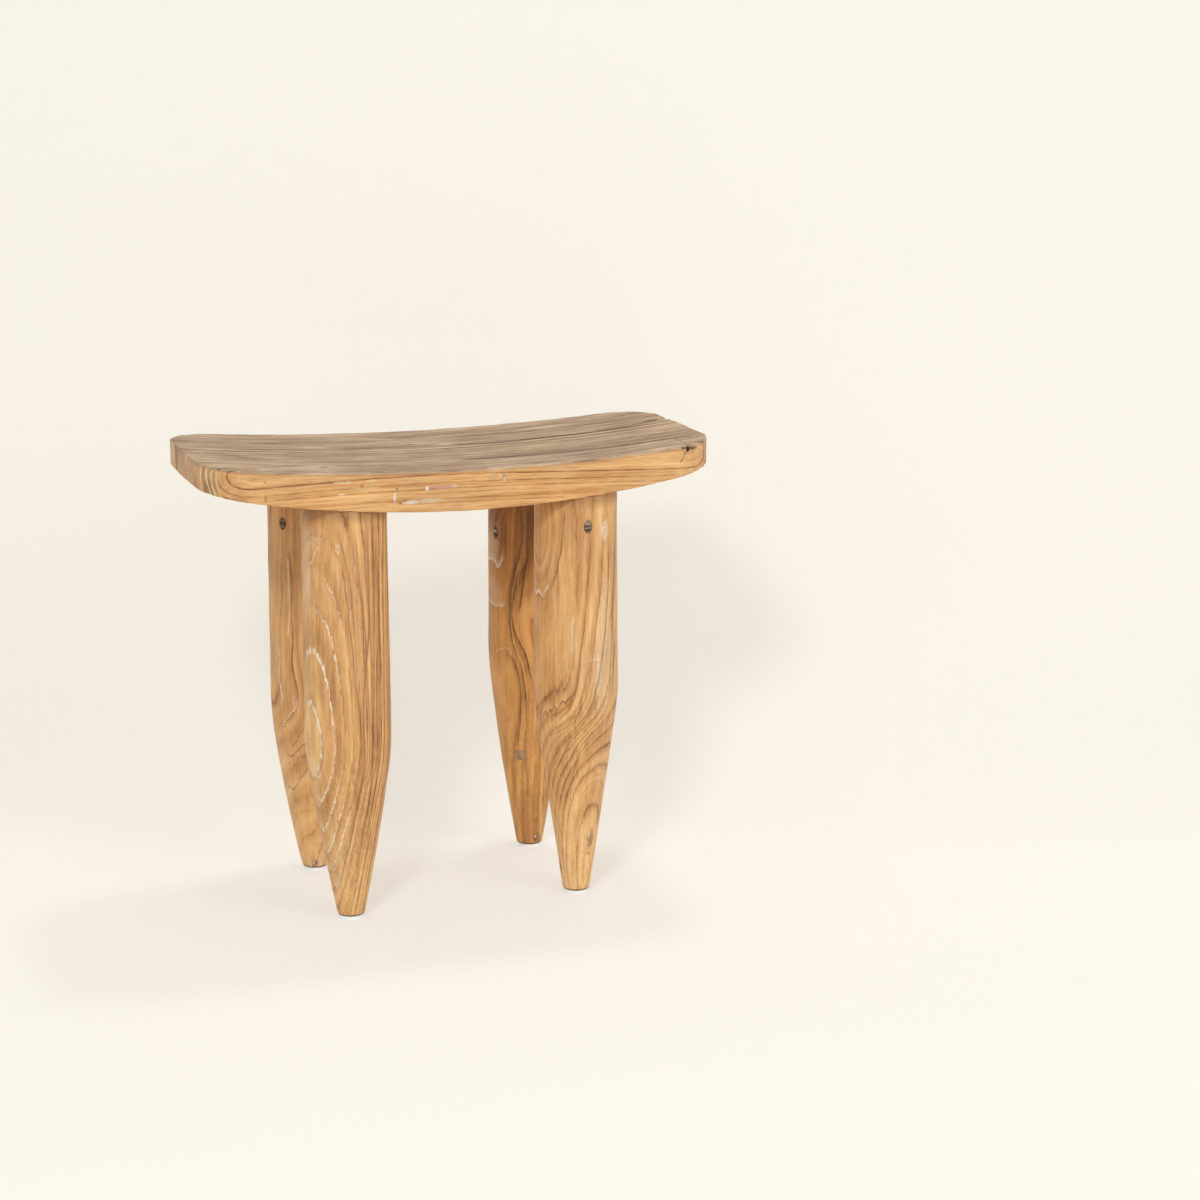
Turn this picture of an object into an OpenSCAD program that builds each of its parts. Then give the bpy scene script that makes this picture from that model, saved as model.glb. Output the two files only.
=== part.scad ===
// Dished wooden stool on four round tapered legs.
// The seat is three boards glued edge to edge, with dowels across both joints.
// Each leg stands under the seat on two dowels and is held by one slanted screw,
// whose pocket is closed by a wooden plug. A nailed glide is under each foot.
// All lengths are in millimetres. The origin is on the floor, under the middle of the seat.
// +X runs along the seat, +Y to its rear edge and +Z up.

/* [Seat] */
// Length of the seat, end to end
seat_length = 500; // [420:5:640]
// Depth of the seat, front to rear
seat_depth = 238; // [215:1:300]
// Height of the top above the floor, at the bottom of the dish
seat_height = 435; // [380:1:520]
// Thickness of the seat at its middle
seat_thickness = 39; // [34:0.5:50]
// Radius of the hollow along the top
dish_radius = 2530; // [1500:10:6000]
// Radius of the curve along the underside
belly_radius = 1200; // [1000:10:4000]
// Radius of the bowed long edges, in plan
side_radius = 5000; // [2500:50:9000]
// Radius of the bowed ends, in plan
end_radius = 1850; // [700:50:4000]
// Radius of the corners, in plan
corner_radius = 52; // [30:1:80]
// Width of the front board, from the seat's front edge to its glue joint
front_board_width = 52.5; // [49:0.5:56]
// Width of the rear board, from the seat's rear edge to its glue joint
rear_board_width = 98; // [86:0.5:110]

/* [Legs] */
// Distance from the end of the seat to a leg's axis
leg_end_inset = 136.7; // [110:0.1:150]
// Distance from the long edge of the seat to a leg's axis
leg_edge_inset = 43; // [42:0.5:45]
// Radius of a leg under the seat
leg_top_radius = 39.7; // [36:0.1:42]
// Radius of a leg where its taper starts
leg_kink_radius = 41; // [37:0.1:43]
// Radius of a foot above its rounded edge
foot_radius = 13; // [12:0.1:20]
// Rounding of the foot's bottom edge
foot_edge = 1.2; // [0.8:0.1:3]
// Height where each taper starts: front left, front right, rear left, rear right
taper_height = [168, 198, 168, 204]; // [120:1:240]
// Half the length of leg over which the shaft bends into the taper
kink_blend = 22; // [8:1:40]
// How far each taper swells beyond a straight cone, in the same order
taper_swell = [1.2, 0.2, 2.4, 2.2]; // [0:0.1:4]

/* [Dowels] */
// Diameter of the dowels across the seat's glue joints
edge_dowel_d = 10; // [6:0.5:12]
// Length of the dowels across the seat's glue joints
edge_dowel_length = 50; // [30:1:60]
// Distance along the seat from a leg's axis to the joint dowels on both sides of it
edge_dowel_offset = 62; // [50:1:66]
// Diameter of the leg dowels
leg_dowel_d = 10; // [6:0.5:12]
// Length of the leg dowels
leg_dowel_length = 50; // [40:1:60]
// How far the leg dowels reach into the seat
leg_dowel_bite = 22; // [15:0.5:24]
// Distance between the two dowels of a leg
leg_dowel_spacing = 36; // [32:1:42]
// Chamfer on the dowel ends
dowel_chamfer = 1; // [0.3:0.1:2]

/* [Screws and plugs] */
// Diameter of the pocket that a plug closes
pocket_d = 7.4; // [7:0.1:10]
// Slant of the screw pockets, measured from the leg's axis
screw_slant = 34; // [28:1:40]
// Distance below the seat at which each pocket enters its leg, in the same order
pocket_drop = [32, 28.5, 39.5, 66]; // [27:0.5:70]
// Direction that each pocket faces, counted from +X towards +Y, in degrees
pocket_azimuth = [0, -91, -141, -162]; // [-180:1:180]
// Diameter of the screw's shank
screw_d = 3.5; // [3:0.1:4.5]
// Diameter of the screw's head
screw_head_d = 6.8; // [5.4:0.1:6.9]
// Height of the countersunk head
screw_head_h = 2.4; // [1.8:0.1:3.5]
// Length of the screw with its head
screw_length = 45; // [40:1:48]
// How far the screw reaches into the seat, along its axis
screw_bite = 25; // [18:1:27]
// Width of the cross slot in the head
screw_slot = 1.1; // [0.6:0.1:1.5]
// Depth of the cross slot in the head
screw_slot_depth = 1.2; // [0.8:0.1:1.5]
// Room between a plug and the screw's head
plug_room = 1; // [0.5:0.1:3]

/* [Glides] */
// Diameter of the glides
glide_d = 23; // [19:0.5:24]
// Thickness of the glides
glide_t = 4; // [2.4:0.1:5]
// Chamfer on both rims of a glide
glide_chamfer = 0.6; // [0.2:0.1:0.9]
// Diameter of the nail's head
nail_head_d = 5; // [4:0.1:6.5]
// Thickness of the nail's head
nail_head_t = 0.8; // [0.5:0.1:1]
// Diameter of the nail's shank
nail_d = 1.8; // [1.4:0.1:2.4]
// Length of the nail with its head
nail_length = 18; // [12:1:24]
// Height of the nail's head above the floor
nail_recess = 0.6; // [0.3:0.1:1]

/* [Repair patch] */
// Width of the patch, round the leg
patch_width = 12; // [6:0.5:16]
// Height of the patch, along the leg
patch_height = 11; // [6:0.5:16]
// Depth of the patch's pocket at its middle
patch_depth = 5; // [3:0.5:8]
// Height of the patch's middle above the floor
patch_z = 104.5; // [60:0.5:120]
// Direction that the patch faces, counted from +X towards +Y, in degrees
patch_azimuth = -124.5; // [-180:0.5:180]

/* [Fits] */
// Thickness of a glue line
glue_line = 0.1; // [0.05:0.01:0.2]
// Clearance round a dowel, a plug and the patch, on each side
peg_clearance = 0.1; // [0.05:0.01:0.2]
// Room beyond each end of a dowel
dowel_end_room = 1.5; // [0.5:0.1:2]
// Clearance round the screws and nails, on each side
screw_clearance = 0.1; // [0.05:0.01:0.2]

/* [Hidden] */

// Place of each leg in the sizes that hold four values
front_left = 0;
front_right = 1;
rear_left = 2;
rear_right = 3;
leg_count = 4;

// Colours as they look in daylight
top_grey_brown = [0.66, 0.54, 0.42];
front_tan = [0.84, 0.64, 0.41];
leg_tan = [0.78, 0.60, 0.40];
leg_brown = [0.70, 0.50, 0.32];
dowel_wood = [0.87, 0.76, 0.57];
plug_grey = [0.52, 0.44, 0.36];
patch_grey = [0.68, 0.57, 0.44];
steel_grey = [0.62, 0.63, 0.65];
glide_white = [0.93, 0.93, 0.91];

// Facets of the longest curves, of the seat's curved faces, of the legs and of small round pieces
side_fn = 1440;
face_fn = 720;
round_fn = 120;
small_fn = 48;
// Margin by which a cutting shape stands clear of what it cuts
cut = 1;

// Heights of the seat's two curved faces, at a distance x from the middle of the seat
seat_bottom = seat_height - seat_thickness;
function dish_z(x) = seat_height + dish_radius - sqrt(pow(dish_radius, 2) - pow(x, 2));
function belly_z(x) = seat_bottom + belly_radius - sqrt(pow(belly_radius, 2) - pow(x, 2));
seat_top = dish_z(seat_length / 2);

// The circle of a corner touches the side's and the end's circle from inside,
// so its centre lies at a known distance from each of their centres.
side_centre = [0, seat_depth / 2 - side_radius];
end_centre = [seat_length / 2 - end_radius, 0];
to_side = side_radius - corner_radius;
to_end = end_radius - corner_radius;
centre_gap = norm(end_centre - side_centre);
gap_dir = (end_centre - side_centre) / centre_gap;
along_gap = (pow(to_side, 2) - pow(to_end, 2) + pow(centre_gap, 2)) / (2 * centre_gap);
across_gap = sqrt(pow(to_side, 2) - pow(along_gap, 2));
corner_centre = side_centre + along_gap * gap_dir + across_gap * [gap_dir[1], -gap_dir[0]];
// Directions from the corner's centre to the points where it meets the side and the end
side_touch = (corner_centre - side_centre) / to_side;
end_touch = (corner_centre - end_centre) / to_end;
// Reach of the wedge that trims a corner
wedge_reach = 3 * corner_radius;
// Growth of the corner's circle, so that it crosses the two others and doesn't only touch them
corner_cross = 0.05;

// The glue joints between the boards
front_joint_y = front_board_width - seat_depth / 2;
rear_joint_y = seat_depth / 2 - rear_board_width;

// The leg axes
function leg_x(i) = (i == front_left || i == rear_left ? -1 : 1) * (seat_length / 2 - leg_end_inset);
function leg_y(i) = (i == front_left || i == front_right ? -1 : 1) * (seat_depth / 2 - leg_edge_inset);

// Radius of leg i at height z. The shaft is a slow cone and the taper a quick one with a swell,
// and between them the radius follows a parabola that is tangent to both.
function shaft_radius(i, z) =
  leg_kink_radius
  + (leg_top_radius - leg_kink_radius) * (z - taper_height[i]) / (seat_bottom - taper_height[i]);
function taper_share(i, z) = (z - glide_t) / (taper_height[i] - glide_t);
function taper_radius(i, z) =
  foot_radius
  + (leg_kink_radius - foot_radius) * taper_share(i, z)
  + 4 * taper_swell[i] * taper_share(i, z) * (1 - taper_share(i, z));
function kink_radius(i, z) =
  let (
    share = (z - taper_height[i] + kink_blend) / (2 * kink_blend),
    low = taper_radius(i, taper_height[i] - kink_blend),
    high = shaft_radius(i, taper_height[i] + kink_blend)
  )
  pow(1 - share, 2) * low + 2 * share * (1 - share) * leg_kink_radius + pow(share, 2) * high;
function leg_radius(i, z) =
  z > taper_height[i] + kink_blend ? shaft_radius(i, z)
  : z > taper_height[i] - kink_blend ? kink_radius(i, z)
  : taper_radius(i, z);
// Slope of the taper, and straight steps along the foot's edge, the taper and the kink
function taper_slope(i) = atan((leg_kink_radius - foot_radius) / (taper_height[i] - glide_t));
edge_steps = 5;
taper_steps = 8;
kink_steps = 8;

// The dowels across a glue joint stand on both sides of the leg axes
edge_dowel_x = [
  leg_x(front_left) - edge_dowel_offset, leg_x(front_left) + edge_dowel_offset,
  leg_x(front_right) - edge_dowel_offset, leg_x(front_right) + edge_dowel_offset
];

// The screw pockets: where they enter the legs, how far it is along their axis to the seat,
// and how deep the screw's head lies
function pocket_z(i) = belly_z(leg_x(i)) - pocket_drop[i];
function pocket_run(i) = pocket_drop[i] / cos(screw_slant);
function head_depth(i) = pocket_run(i) + screw_bite - screw_length;
// Length of the cutter that stands out of the leg, so that the slanted mouth is open all round
pocket_mouth = 2 * pocket_d;
// Rim of the screw's head, its point, the width of its tip, and the length of the cross slot
screw_rim = 0.3;
screw_point = 7;
screw_tip_d = 0.8;
slot_length = 0.7 * screw_head_d;

nail_point = 3;
nail_tip_d = 0.4;

// The seat's plan as a block that starts at the floor
module seat_plan(height) {
  difference() {
    intersection() {
      translate([0, side_centre[1], 0]) cylinder(r = side_radius, h = height, $fn = side_fn);
      translate([0, -side_centre[1], 0]) cylinder(r = side_radius, h = height, $fn = side_fn);
      translate([end_centre[0], 0, 0]) cylinder(r = end_radius, h = height, $fn = face_fn);
      translate([-end_centre[0], 0, 0]) cylinder(r = end_radius, h = height, $fn = face_fn);
    }
    for (flip_x = [0, 1], flip_y = [0, 1])
      mirror([flip_x, 0, 0]) mirror([0, flip_y, 0]) corner_trim(height);
  }
}

// What lies outside the round corner, between its two points of contact
module corner_trim(height) {
  translate([corner_centre[0], corner_centre[1], -cut])
    difference() {
      linear_extrude(height + 2 * cut)
        polygon([
          [0, 0],
          wedge_reach * side_touch,
          wedge_reach * (side_touch + end_touch),
          wedge_reach * end_touch
        ]);
      translate([0, 0, -cut]) cylinder(
        r = corner_radius + corner_cross,
        h = height + 4 * cut,
        $fn = round_fn
      );
    }
}

// A cylinder across the seat, whose lowest line is at height z
module cross_cylinder(r, z) {
  translate([0, 0, z + r])
    rotate([90, 0, 0]) cylinder(r = r, h = seat_depth + 2 * cut, center = true, $fn = face_fn);
}

// The whole seat before it is divided and bored
module seat_blank() {
  difference() {
    intersection() {
      seat_plan(seat_top + cut);
      cross_cylinder(belly_radius, seat_bottom);
    }
    cross_cylinder(dish_radius, seat_height);
  }
}

// One board of the seat, between two planes across it
module board(y_low, y_high) {
  difference() {
    intersection() {
      seat_blank();
      translate([-seat_length, y_low, 0]) cube([2 * seat_length, y_high - y_low, seat_top + cut]);
    }
    for (y = [front_joint_y, rear_joint_y], x = edge_dowel_x) at_edge_dowel(x, y) edge_dowel_bore();
    for (i = [0 : leg_count - 1]) {
      for (side = [-1, 1]) at_leg_dowel(i, side) leg_dowel_bore();
      at_pocket(i) screw_bore(i);
    }
  }
}

// A dowel with chamfered ends, standing on the origin
module dowel(d, length) {
  rotate_extrude($fn = small_fn)
    polygon([
      [0, 0],
      [d / 2 - dowel_chamfer, 0],
      [d / 2, dowel_chamfer],
      [d / 2, length - dowel_chamfer],
      [d / 2 - dowel_chamfer, length],
      [0, length]
    ]);
}

// Puts a dowel's foot in front of a glue joint, half way through the seat's thickness
module at_edge_dowel(x, y) {
  translate([x, y - edge_dowel_length / 2, (dish_z(x) + belly_z(x)) / 2]) rotate([-90, 0, 0]) children();
}

module edge_dowel_bore() {
  translate([0, 0, -dowel_end_room]) cylinder(
    d = edge_dowel_d + 2 * peg_clearance,
    h = edge_dowel_length + 2 * dowel_end_room,
    $fn = small_fn
  );
}

// Puts a dowel's foot inside a leg, beside the plane in which the screw runs
module at_leg_dowel(i, side) {
  translate([leg_x(i), leg_y(i), belly_z(leg_x(i)) + leg_dowel_bite - leg_dowel_length])
    rotate([0, 0, pocket_azimuth[i]])
      translate([0, side * leg_dowel_spacing / 2, 0]) children();
}

module leg_dowel_bore() {
  translate([0, 0, -dowel_end_room]) cylinder(
    d = leg_dowel_d + 2 * peg_clearance,
    h = leg_dowel_length + 2 * dowel_end_room,
    $fn = small_fn
  );
}

// Puts the origin where a pocket's axis enters its leg, with +Z up along the screw
module at_pocket(i) {
  translate([leg_x(i), leg_y(i), pocket_z(i)])
    rotate([0, 0, pocket_azimuth[i]])
      translate([leg_radius(i, pocket_z(i)), 0, 0])
        rotate([0, -screw_slant, 0]) children();
}

// The hole for the screw's shank, with its countersink
module screw_bore(i) {
  translate([0, 0, head_depth(i)]) {
    cylinder(d = screw_d + 2 * screw_clearance, h = screw_length + cut, $fn = small_fn);
    cylinder(
      d1 = screw_head_d + 2 * screw_clearance,
      d2 = screw_d + 2 * screw_clearance,
      h = screw_head_h + screw_clearance,
      $fn = small_fn
    );
  }
}

// The pocket above the screw's head, as wide as d
module pocket(d, depth) {
  translate([0, 0, -pocket_mouth]) cylinder(d = d, h = pocket_mouth + depth, $fn = small_fn);
}

// A leg before it is bored, in its place and coped to the underside of the seat
module leg_blank(i) {
  edge_arc = [
    for (step = [0 : edge_steps])
      let (a = -90 + (90 - taper_slope(i)) * step / edge_steps)
      [foot_radius - foot_edge + foot_edge * cos(a), glide_t + foot_edge + foot_edge * sin(a)]
  ];
  taper_low = glide_t + foot_edge;
  taper_high = taper_height[i] - kink_blend;
  taper = [
    for (step = [1 : taper_steps])
      let (z = taper_low + (taper_high - taper_low) * step / taper_steps)
      [leg_radius(i, z), z]
  ];
  kink = [
    for (step = [1 : kink_steps])
      let (z = taper_high + 2 * kink_blend * step / kink_steps)
      [leg_radius(i, z), z]
  ];
  top = [[shaft_radius(i, seat_height), seat_height], [0, seat_height]];
  difference() {
    translate([leg_x(i), leg_y(i), 0])
      rotate_extrude($fn = round_fn) polygon(concat([[0, glide_t]], edge_arc, taper, kink, top));
    cross_cylinder(belly_radius + glue_line, seat_bottom - glue_line);
  }
}

module leg(i) {
  difference() {
    leg_blank(i);
    for (side = [-1, 1]) at_leg_dowel(i, side) leg_dowel_bore();
    at_pocket(i) screw_bore(i);
    at_pocket(i) pocket(pocket_d, head_depth(i));
    at_foot(i) nail_bore();
  }
}

// A wooden plug, cut flush with the leg's surface
module plug(i) {
  intersection() {
    leg_blank(i);
    at_pocket(i) pocket(pocket_d - 2 * peg_clearance, head_depth(i) - plug_room);
  }
}

// A countersunk wood screw with a cross slot, its head at the origin and its point up
module leg_screw(i) {
  at_pocket(i) translate([0, 0, head_depth(i)])
    difference() {
      rotate_extrude($fn = small_fn)
        polygon([
          [0, 0],
          [screw_head_d / 2, 0],
          [screw_head_d / 2, screw_rim],
          [screw_d / 2, screw_head_h],
          [screw_d / 2, screw_length - screw_point],
          [screw_tip_d / 2, screw_length],
          [0, screw_length]
        ]);
      for (turn = [0, 90])
        rotate([0, 0, turn])
          cube([slot_length, screw_slot, 2 * screw_slot_depth], center = true);
    }
}

module at_foot(i) {
  translate([leg_x(i), leg_y(i), 0]) children();
}

module nail_bore() {
  cylinder(d = nail_d + 2 * screw_clearance, h = nail_recess + nail_length + cut, $fn = small_fn);
}

// A disc with chamfered rims, bored for the nail and its sunk head
module foot_glide(i) {
  at_foot(i)
    difference() {
      rotate_extrude($fn = round_fn)
        polygon([
          [0, 0],
          [glide_d / 2 - glide_chamfer, 0],
          [glide_d / 2, glide_chamfer],
          [glide_d / 2, glide_t - glide_chamfer],
          [glide_d / 2 - glide_chamfer, glide_t],
          [0, glide_t]
        ]);
      translate([0, 0, -cut]) cylinder(
        d = nail_head_d + 2 * screw_clearance,
        h = cut + nail_recess + nail_head_t,
        $fn = small_fn
      );
      translate([0, 0, -cut]) cylinder(
        d = nail_d + 2 * screw_clearance,
        h = glide_t + 2 * cut,
        $fn = small_fn
      );
    }
}

module glide_nail(i) {
  at_foot(i) translate([0, 0, nail_recess])
    rotate_extrude($fn = small_fn)
      polygon([
        [0, 0],
        [nail_head_d / 2, 0],
        [nail_head_d / 2, nail_head_t],
        [nail_d / 2, nail_head_t],
        [nail_d / 2, nail_length - nail_point],
        [nail_tip_d / 2, nail_length],
        [0, nail_length]
      ]);
}

// The block that the patch fills, grown by a clearance on its sides and its back
module patch_block(clearance) {
  translate([leg_x(rear_right), leg_y(rear_right), patch_z])
    rotate([0, 0, patch_azimuth])
      translate([
        leg_radius(rear_right, patch_z) - patch_depth - clearance,
        -patch_width / 2 - clearance,
        -patch_height / 2 - clearance
      ])
        cube([2 * patch_depth, patch_width + 2 * clearance, patch_height + 2 * clearance]);
}

module seat_board_front() { color(front_tan) board(-seat_depth, front_joint_y - glue_line / 2); }
module seat_board_middle() {
  color(top_grey_brown)
    board(front_joint_y + glue_line / 2, rear_joint_y - glue_line / 2);
}
module seat_board_rear() { color(front_tan) board(rear_joint_y + glue_line / 2, seat_depth); }

module leg_front_left() { color(leg_tan) leg(front_left); }
module leg_front_right() { color(leg_tan) leg(front_right); }
module leg_rear_left() { color(leg_brown) leg(rear_left); }
module leg_rear_right() {
  color(leg_brown)
    difference() {
      leg(rear_right);
      patch_block(peg_clearance);
    }
}

module edge_dowel(x, y) { color(dowel_wood) at_edge_dowel(x, y) dowel(edge_dowel_d, edge_dowel_length); }
module edge_dowel_front_1() { edge_dowel(edge_dowel_x[0], front_joint_y); }
module edge_dowel_front_2() { edge_dowel(edge_dowel_x[1], front_joint_y); }
module edge_dowel_front_3() { edge_dowel(edge_dowel_x[2], front_joint_y); }
module edge_dowel_front_4() { edge_dowel(edge_dowel_x[3], front_joint_y); }
module edge_dowel_rear_1() { edge_dowel(edge_dowel_x[0], rear_joint_y); }
module edge_dowel_rear_2() { edge_dowel(edge_dowel_x[1], rear_joint_y); }
module edge_dowel_rear_3() { edge_dowel(edge_dowel_x[2], rear_joint_y); }
module edge_dowel_rear_4() { edge_dowel(edge_dowel_x[3], rear_joint_y); }

module leg_dowel(i, side) { color(dowel_wood) at_leg_dowel(i, side) dowel(leg_dowel_d, leg_dowel_length); }
module dowel_front_left_a() { leg_dowel(front_left, -1); }
module dowel_front_left_b() { leg_dowel(front_left, 1); }
module dowel_front_right_a() { leg_dowel(front_right, -1); }
module dowel_front_right_b() { leg_dowel(front_right, 1); }
module dowel_rear_left_a() { leg_dowel(rear_left, -1); }
module dowel_rear_left_b() { leg_dowel(rear_left, 1); }
module dowel_rear_right_a() { leg_dowel(rear_right, -1); }
module dowel_rear_right_b() { leg_dowel(rear_right, 1); }

module leg_screw_front_left() { color(steel_grey) leg_screw(front_left); }
module leg_screw_front_right() { color(steel_grey) leg_screw(front_right); }
module leg_screw_rear_left() { color(steel_grey) leg_screw(rear_left); }
module leg_screw_rear_right() { color(steel_grey) leg_screw(rear_right); }

module plug_front_left() { color(plug_grey) plug(front_left); }
module plug_front_right() { color(plug_grey) plug(front_right); }
module plug_rear_left() { color(plug_grey) plug(rear_left); }
module plug_rear_right() { color(plug_grey) plug(rear_right); }

module foot_glide_front_left() { color(glide_white) foot_glide(front_left); }
module foot_glide_front_right() { color(glide_white) foot_glide(front_right); }
module foot_glide_rear_left() { color(glide_white) foot_glide(rear_left); }
module foot_glide_rear_right() { color(glide_white) foot_glide(rear_right); }

module glide_nail_front_left() { color(steel_grey) glide_nail(front_left); }
module glide_nail_front_right() { color(steel_grey) glide_nail(front_right); }
module glide_nail_rear_left() { color(steel_grey) glide_nail(rear_left); }
module glide_nail_rear_right() { color(steel_grey) glide_nail(rear_right); }

module repair_patch() {
  color(patch_grey)
    intersection() {
      leg_blank(rear_right);
      patch_block(0);
    }
}

seat_board_front();
seat_board_middle();
seat_board_rear();
leg_front_left();
leg_front_right();
leg_rear_left();
leg_rear_right();
edge_dowel_front_1();
edge_dowel_front_2();
edge_dowel_front_3();
edge_dowel_front_4();
edge_dowel_rear_1();
edge_dowel_rear_2();
edge_dowel_rear_3();
edge_dowel_rear_4();
dowel_front_left_a();
dowel_front_left_b();
dowel_front_right_a();
dowel_front_right_b();
dowel_rear_left_a();
dowel_rear_left_b();
dowel_rear_right_a();
dowel_rear_right_b();
leg_screw_front_left();
leg_screw_front_right();
leg_screw_rear_left();
leg_screw_rear_right();
plug_front_left();
plug_front_right();
plug_rear_left();
plug_rear_right();
foot_glide_front_left();
foot_glide_front_right();
foot_glide_rear_left();
foot_glide_rear_right();
glide_nail_front_left();
glide_nail_front_right();
glide_nail_rear_left();
glide_nail_rear_right();
repair_patch();
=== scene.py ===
# %% [markdown]
# # A dished wooden stool
#
# This lesson dresses a stool that was first built as exact solids: three seat boards, four
# tapered legs, and the dowels, screws, plugs and glides that hold it together and carry it.
# The solids give the places and sizes. Here each wooden piece is made again as a craftsman would
# shape it, with softened edges and slightly uneven surfaces, and each gets its own wood.

# %% Load the solids
import math
import bpy
from mathutils import Matrix, Vector


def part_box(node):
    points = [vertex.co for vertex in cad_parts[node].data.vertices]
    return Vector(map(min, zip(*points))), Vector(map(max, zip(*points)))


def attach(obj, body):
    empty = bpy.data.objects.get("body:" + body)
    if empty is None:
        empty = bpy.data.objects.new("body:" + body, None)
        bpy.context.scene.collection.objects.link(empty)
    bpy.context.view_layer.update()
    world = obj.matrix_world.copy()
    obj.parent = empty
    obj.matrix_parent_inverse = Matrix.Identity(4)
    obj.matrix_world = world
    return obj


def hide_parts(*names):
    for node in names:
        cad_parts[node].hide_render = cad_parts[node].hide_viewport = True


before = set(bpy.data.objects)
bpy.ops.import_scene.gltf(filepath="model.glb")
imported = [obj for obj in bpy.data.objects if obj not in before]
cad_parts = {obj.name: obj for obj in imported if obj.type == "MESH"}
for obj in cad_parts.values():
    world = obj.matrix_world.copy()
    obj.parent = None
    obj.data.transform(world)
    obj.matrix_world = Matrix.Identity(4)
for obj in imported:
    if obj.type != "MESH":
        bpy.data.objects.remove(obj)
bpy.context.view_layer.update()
MM = 0.001  # one millimetre, in the metres that Blender counts in


# %% [markdown]
# ## The camera
#
# The camera stands a little above the seat and looks slightly down at the stool, turned to show
# the long front edge and a little of the left end. A long lens keeps the perspective calm, and a
# small shift of the lens keeps upright lines nearly parallel. The camera comes first, so that
# every later render shows the same view.

# %% Stand the camera
SENSOR_MM, LENS_MM, LENS_SHIFT = 36.0, 77.187, -0.0753
CAMERA_PLACE = (-0.65543, -2.36874, 0.84709)
LOOK_DOWN, TURN_RIGHT = 10.889, 19.095  # in degrees

camera_data = bpy.data.cameras.new("camera")
camera_data.lens = LENS_MM
camera_data.sensor_width = SENSOR_MM
camera_data.shift_y = LENS_SHIFT
camera = bpy.data.objects.new("camera", camera_data)
camera.location = CAMERA_PLACE
camera.rotation_euler = (math.radians(90 - LOOK_DOWN), 0.0, math.radians(-TURN_RIGHT))
bpy.context.scene.collection.objects.link(camera)
bpy.context.scene.camera = camera
print("camera height in mm:", round(camera.location.z / MM))

# %% [markdown]
# ## Shader maths as sentences
#
# A procedural material is a formula, worked out by nodes at every point of the surface. Laying
# out a hundred nodes by hand hides the formula, so two small helpers write it instead. `Value`
# wraps a socket, and adding or multiplying values adds the Math nodes. `Recipe` owns one
# material, adds any other node and closes with the shader.

# %% The two helpers
class Value:
    """A number that changes over the surface. Sums and products of values add Math nodes."""

    def __init__(self, recipe, socket):
        self.recipe = recipe
        self.socket = socket

    def math(self, operation, *others):
        return self.recipe.node("ShaderNodeMath", {"operation": operation}, self, *others)

    def __add__(self, other):
        return self.math("ADD", other)

    def __mul__(self, other):
        return self.math("MULTIPLY", other)

    __radd__, __rmul__ = __add__, __mul__

    def __sub__(self, other):
        return self.math("SUBTRACT", other)

    def __rsub__(self, other):
        return self.recipe.node("ShaderNodeMath", {"operation": "SUBTRACT"}, other, self)

    def __truediv__(self, other):
        return self.math("DIVIDE", other)

    def __neg__(self):
        return self.math("MULTIPLY", -1.0)


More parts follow.
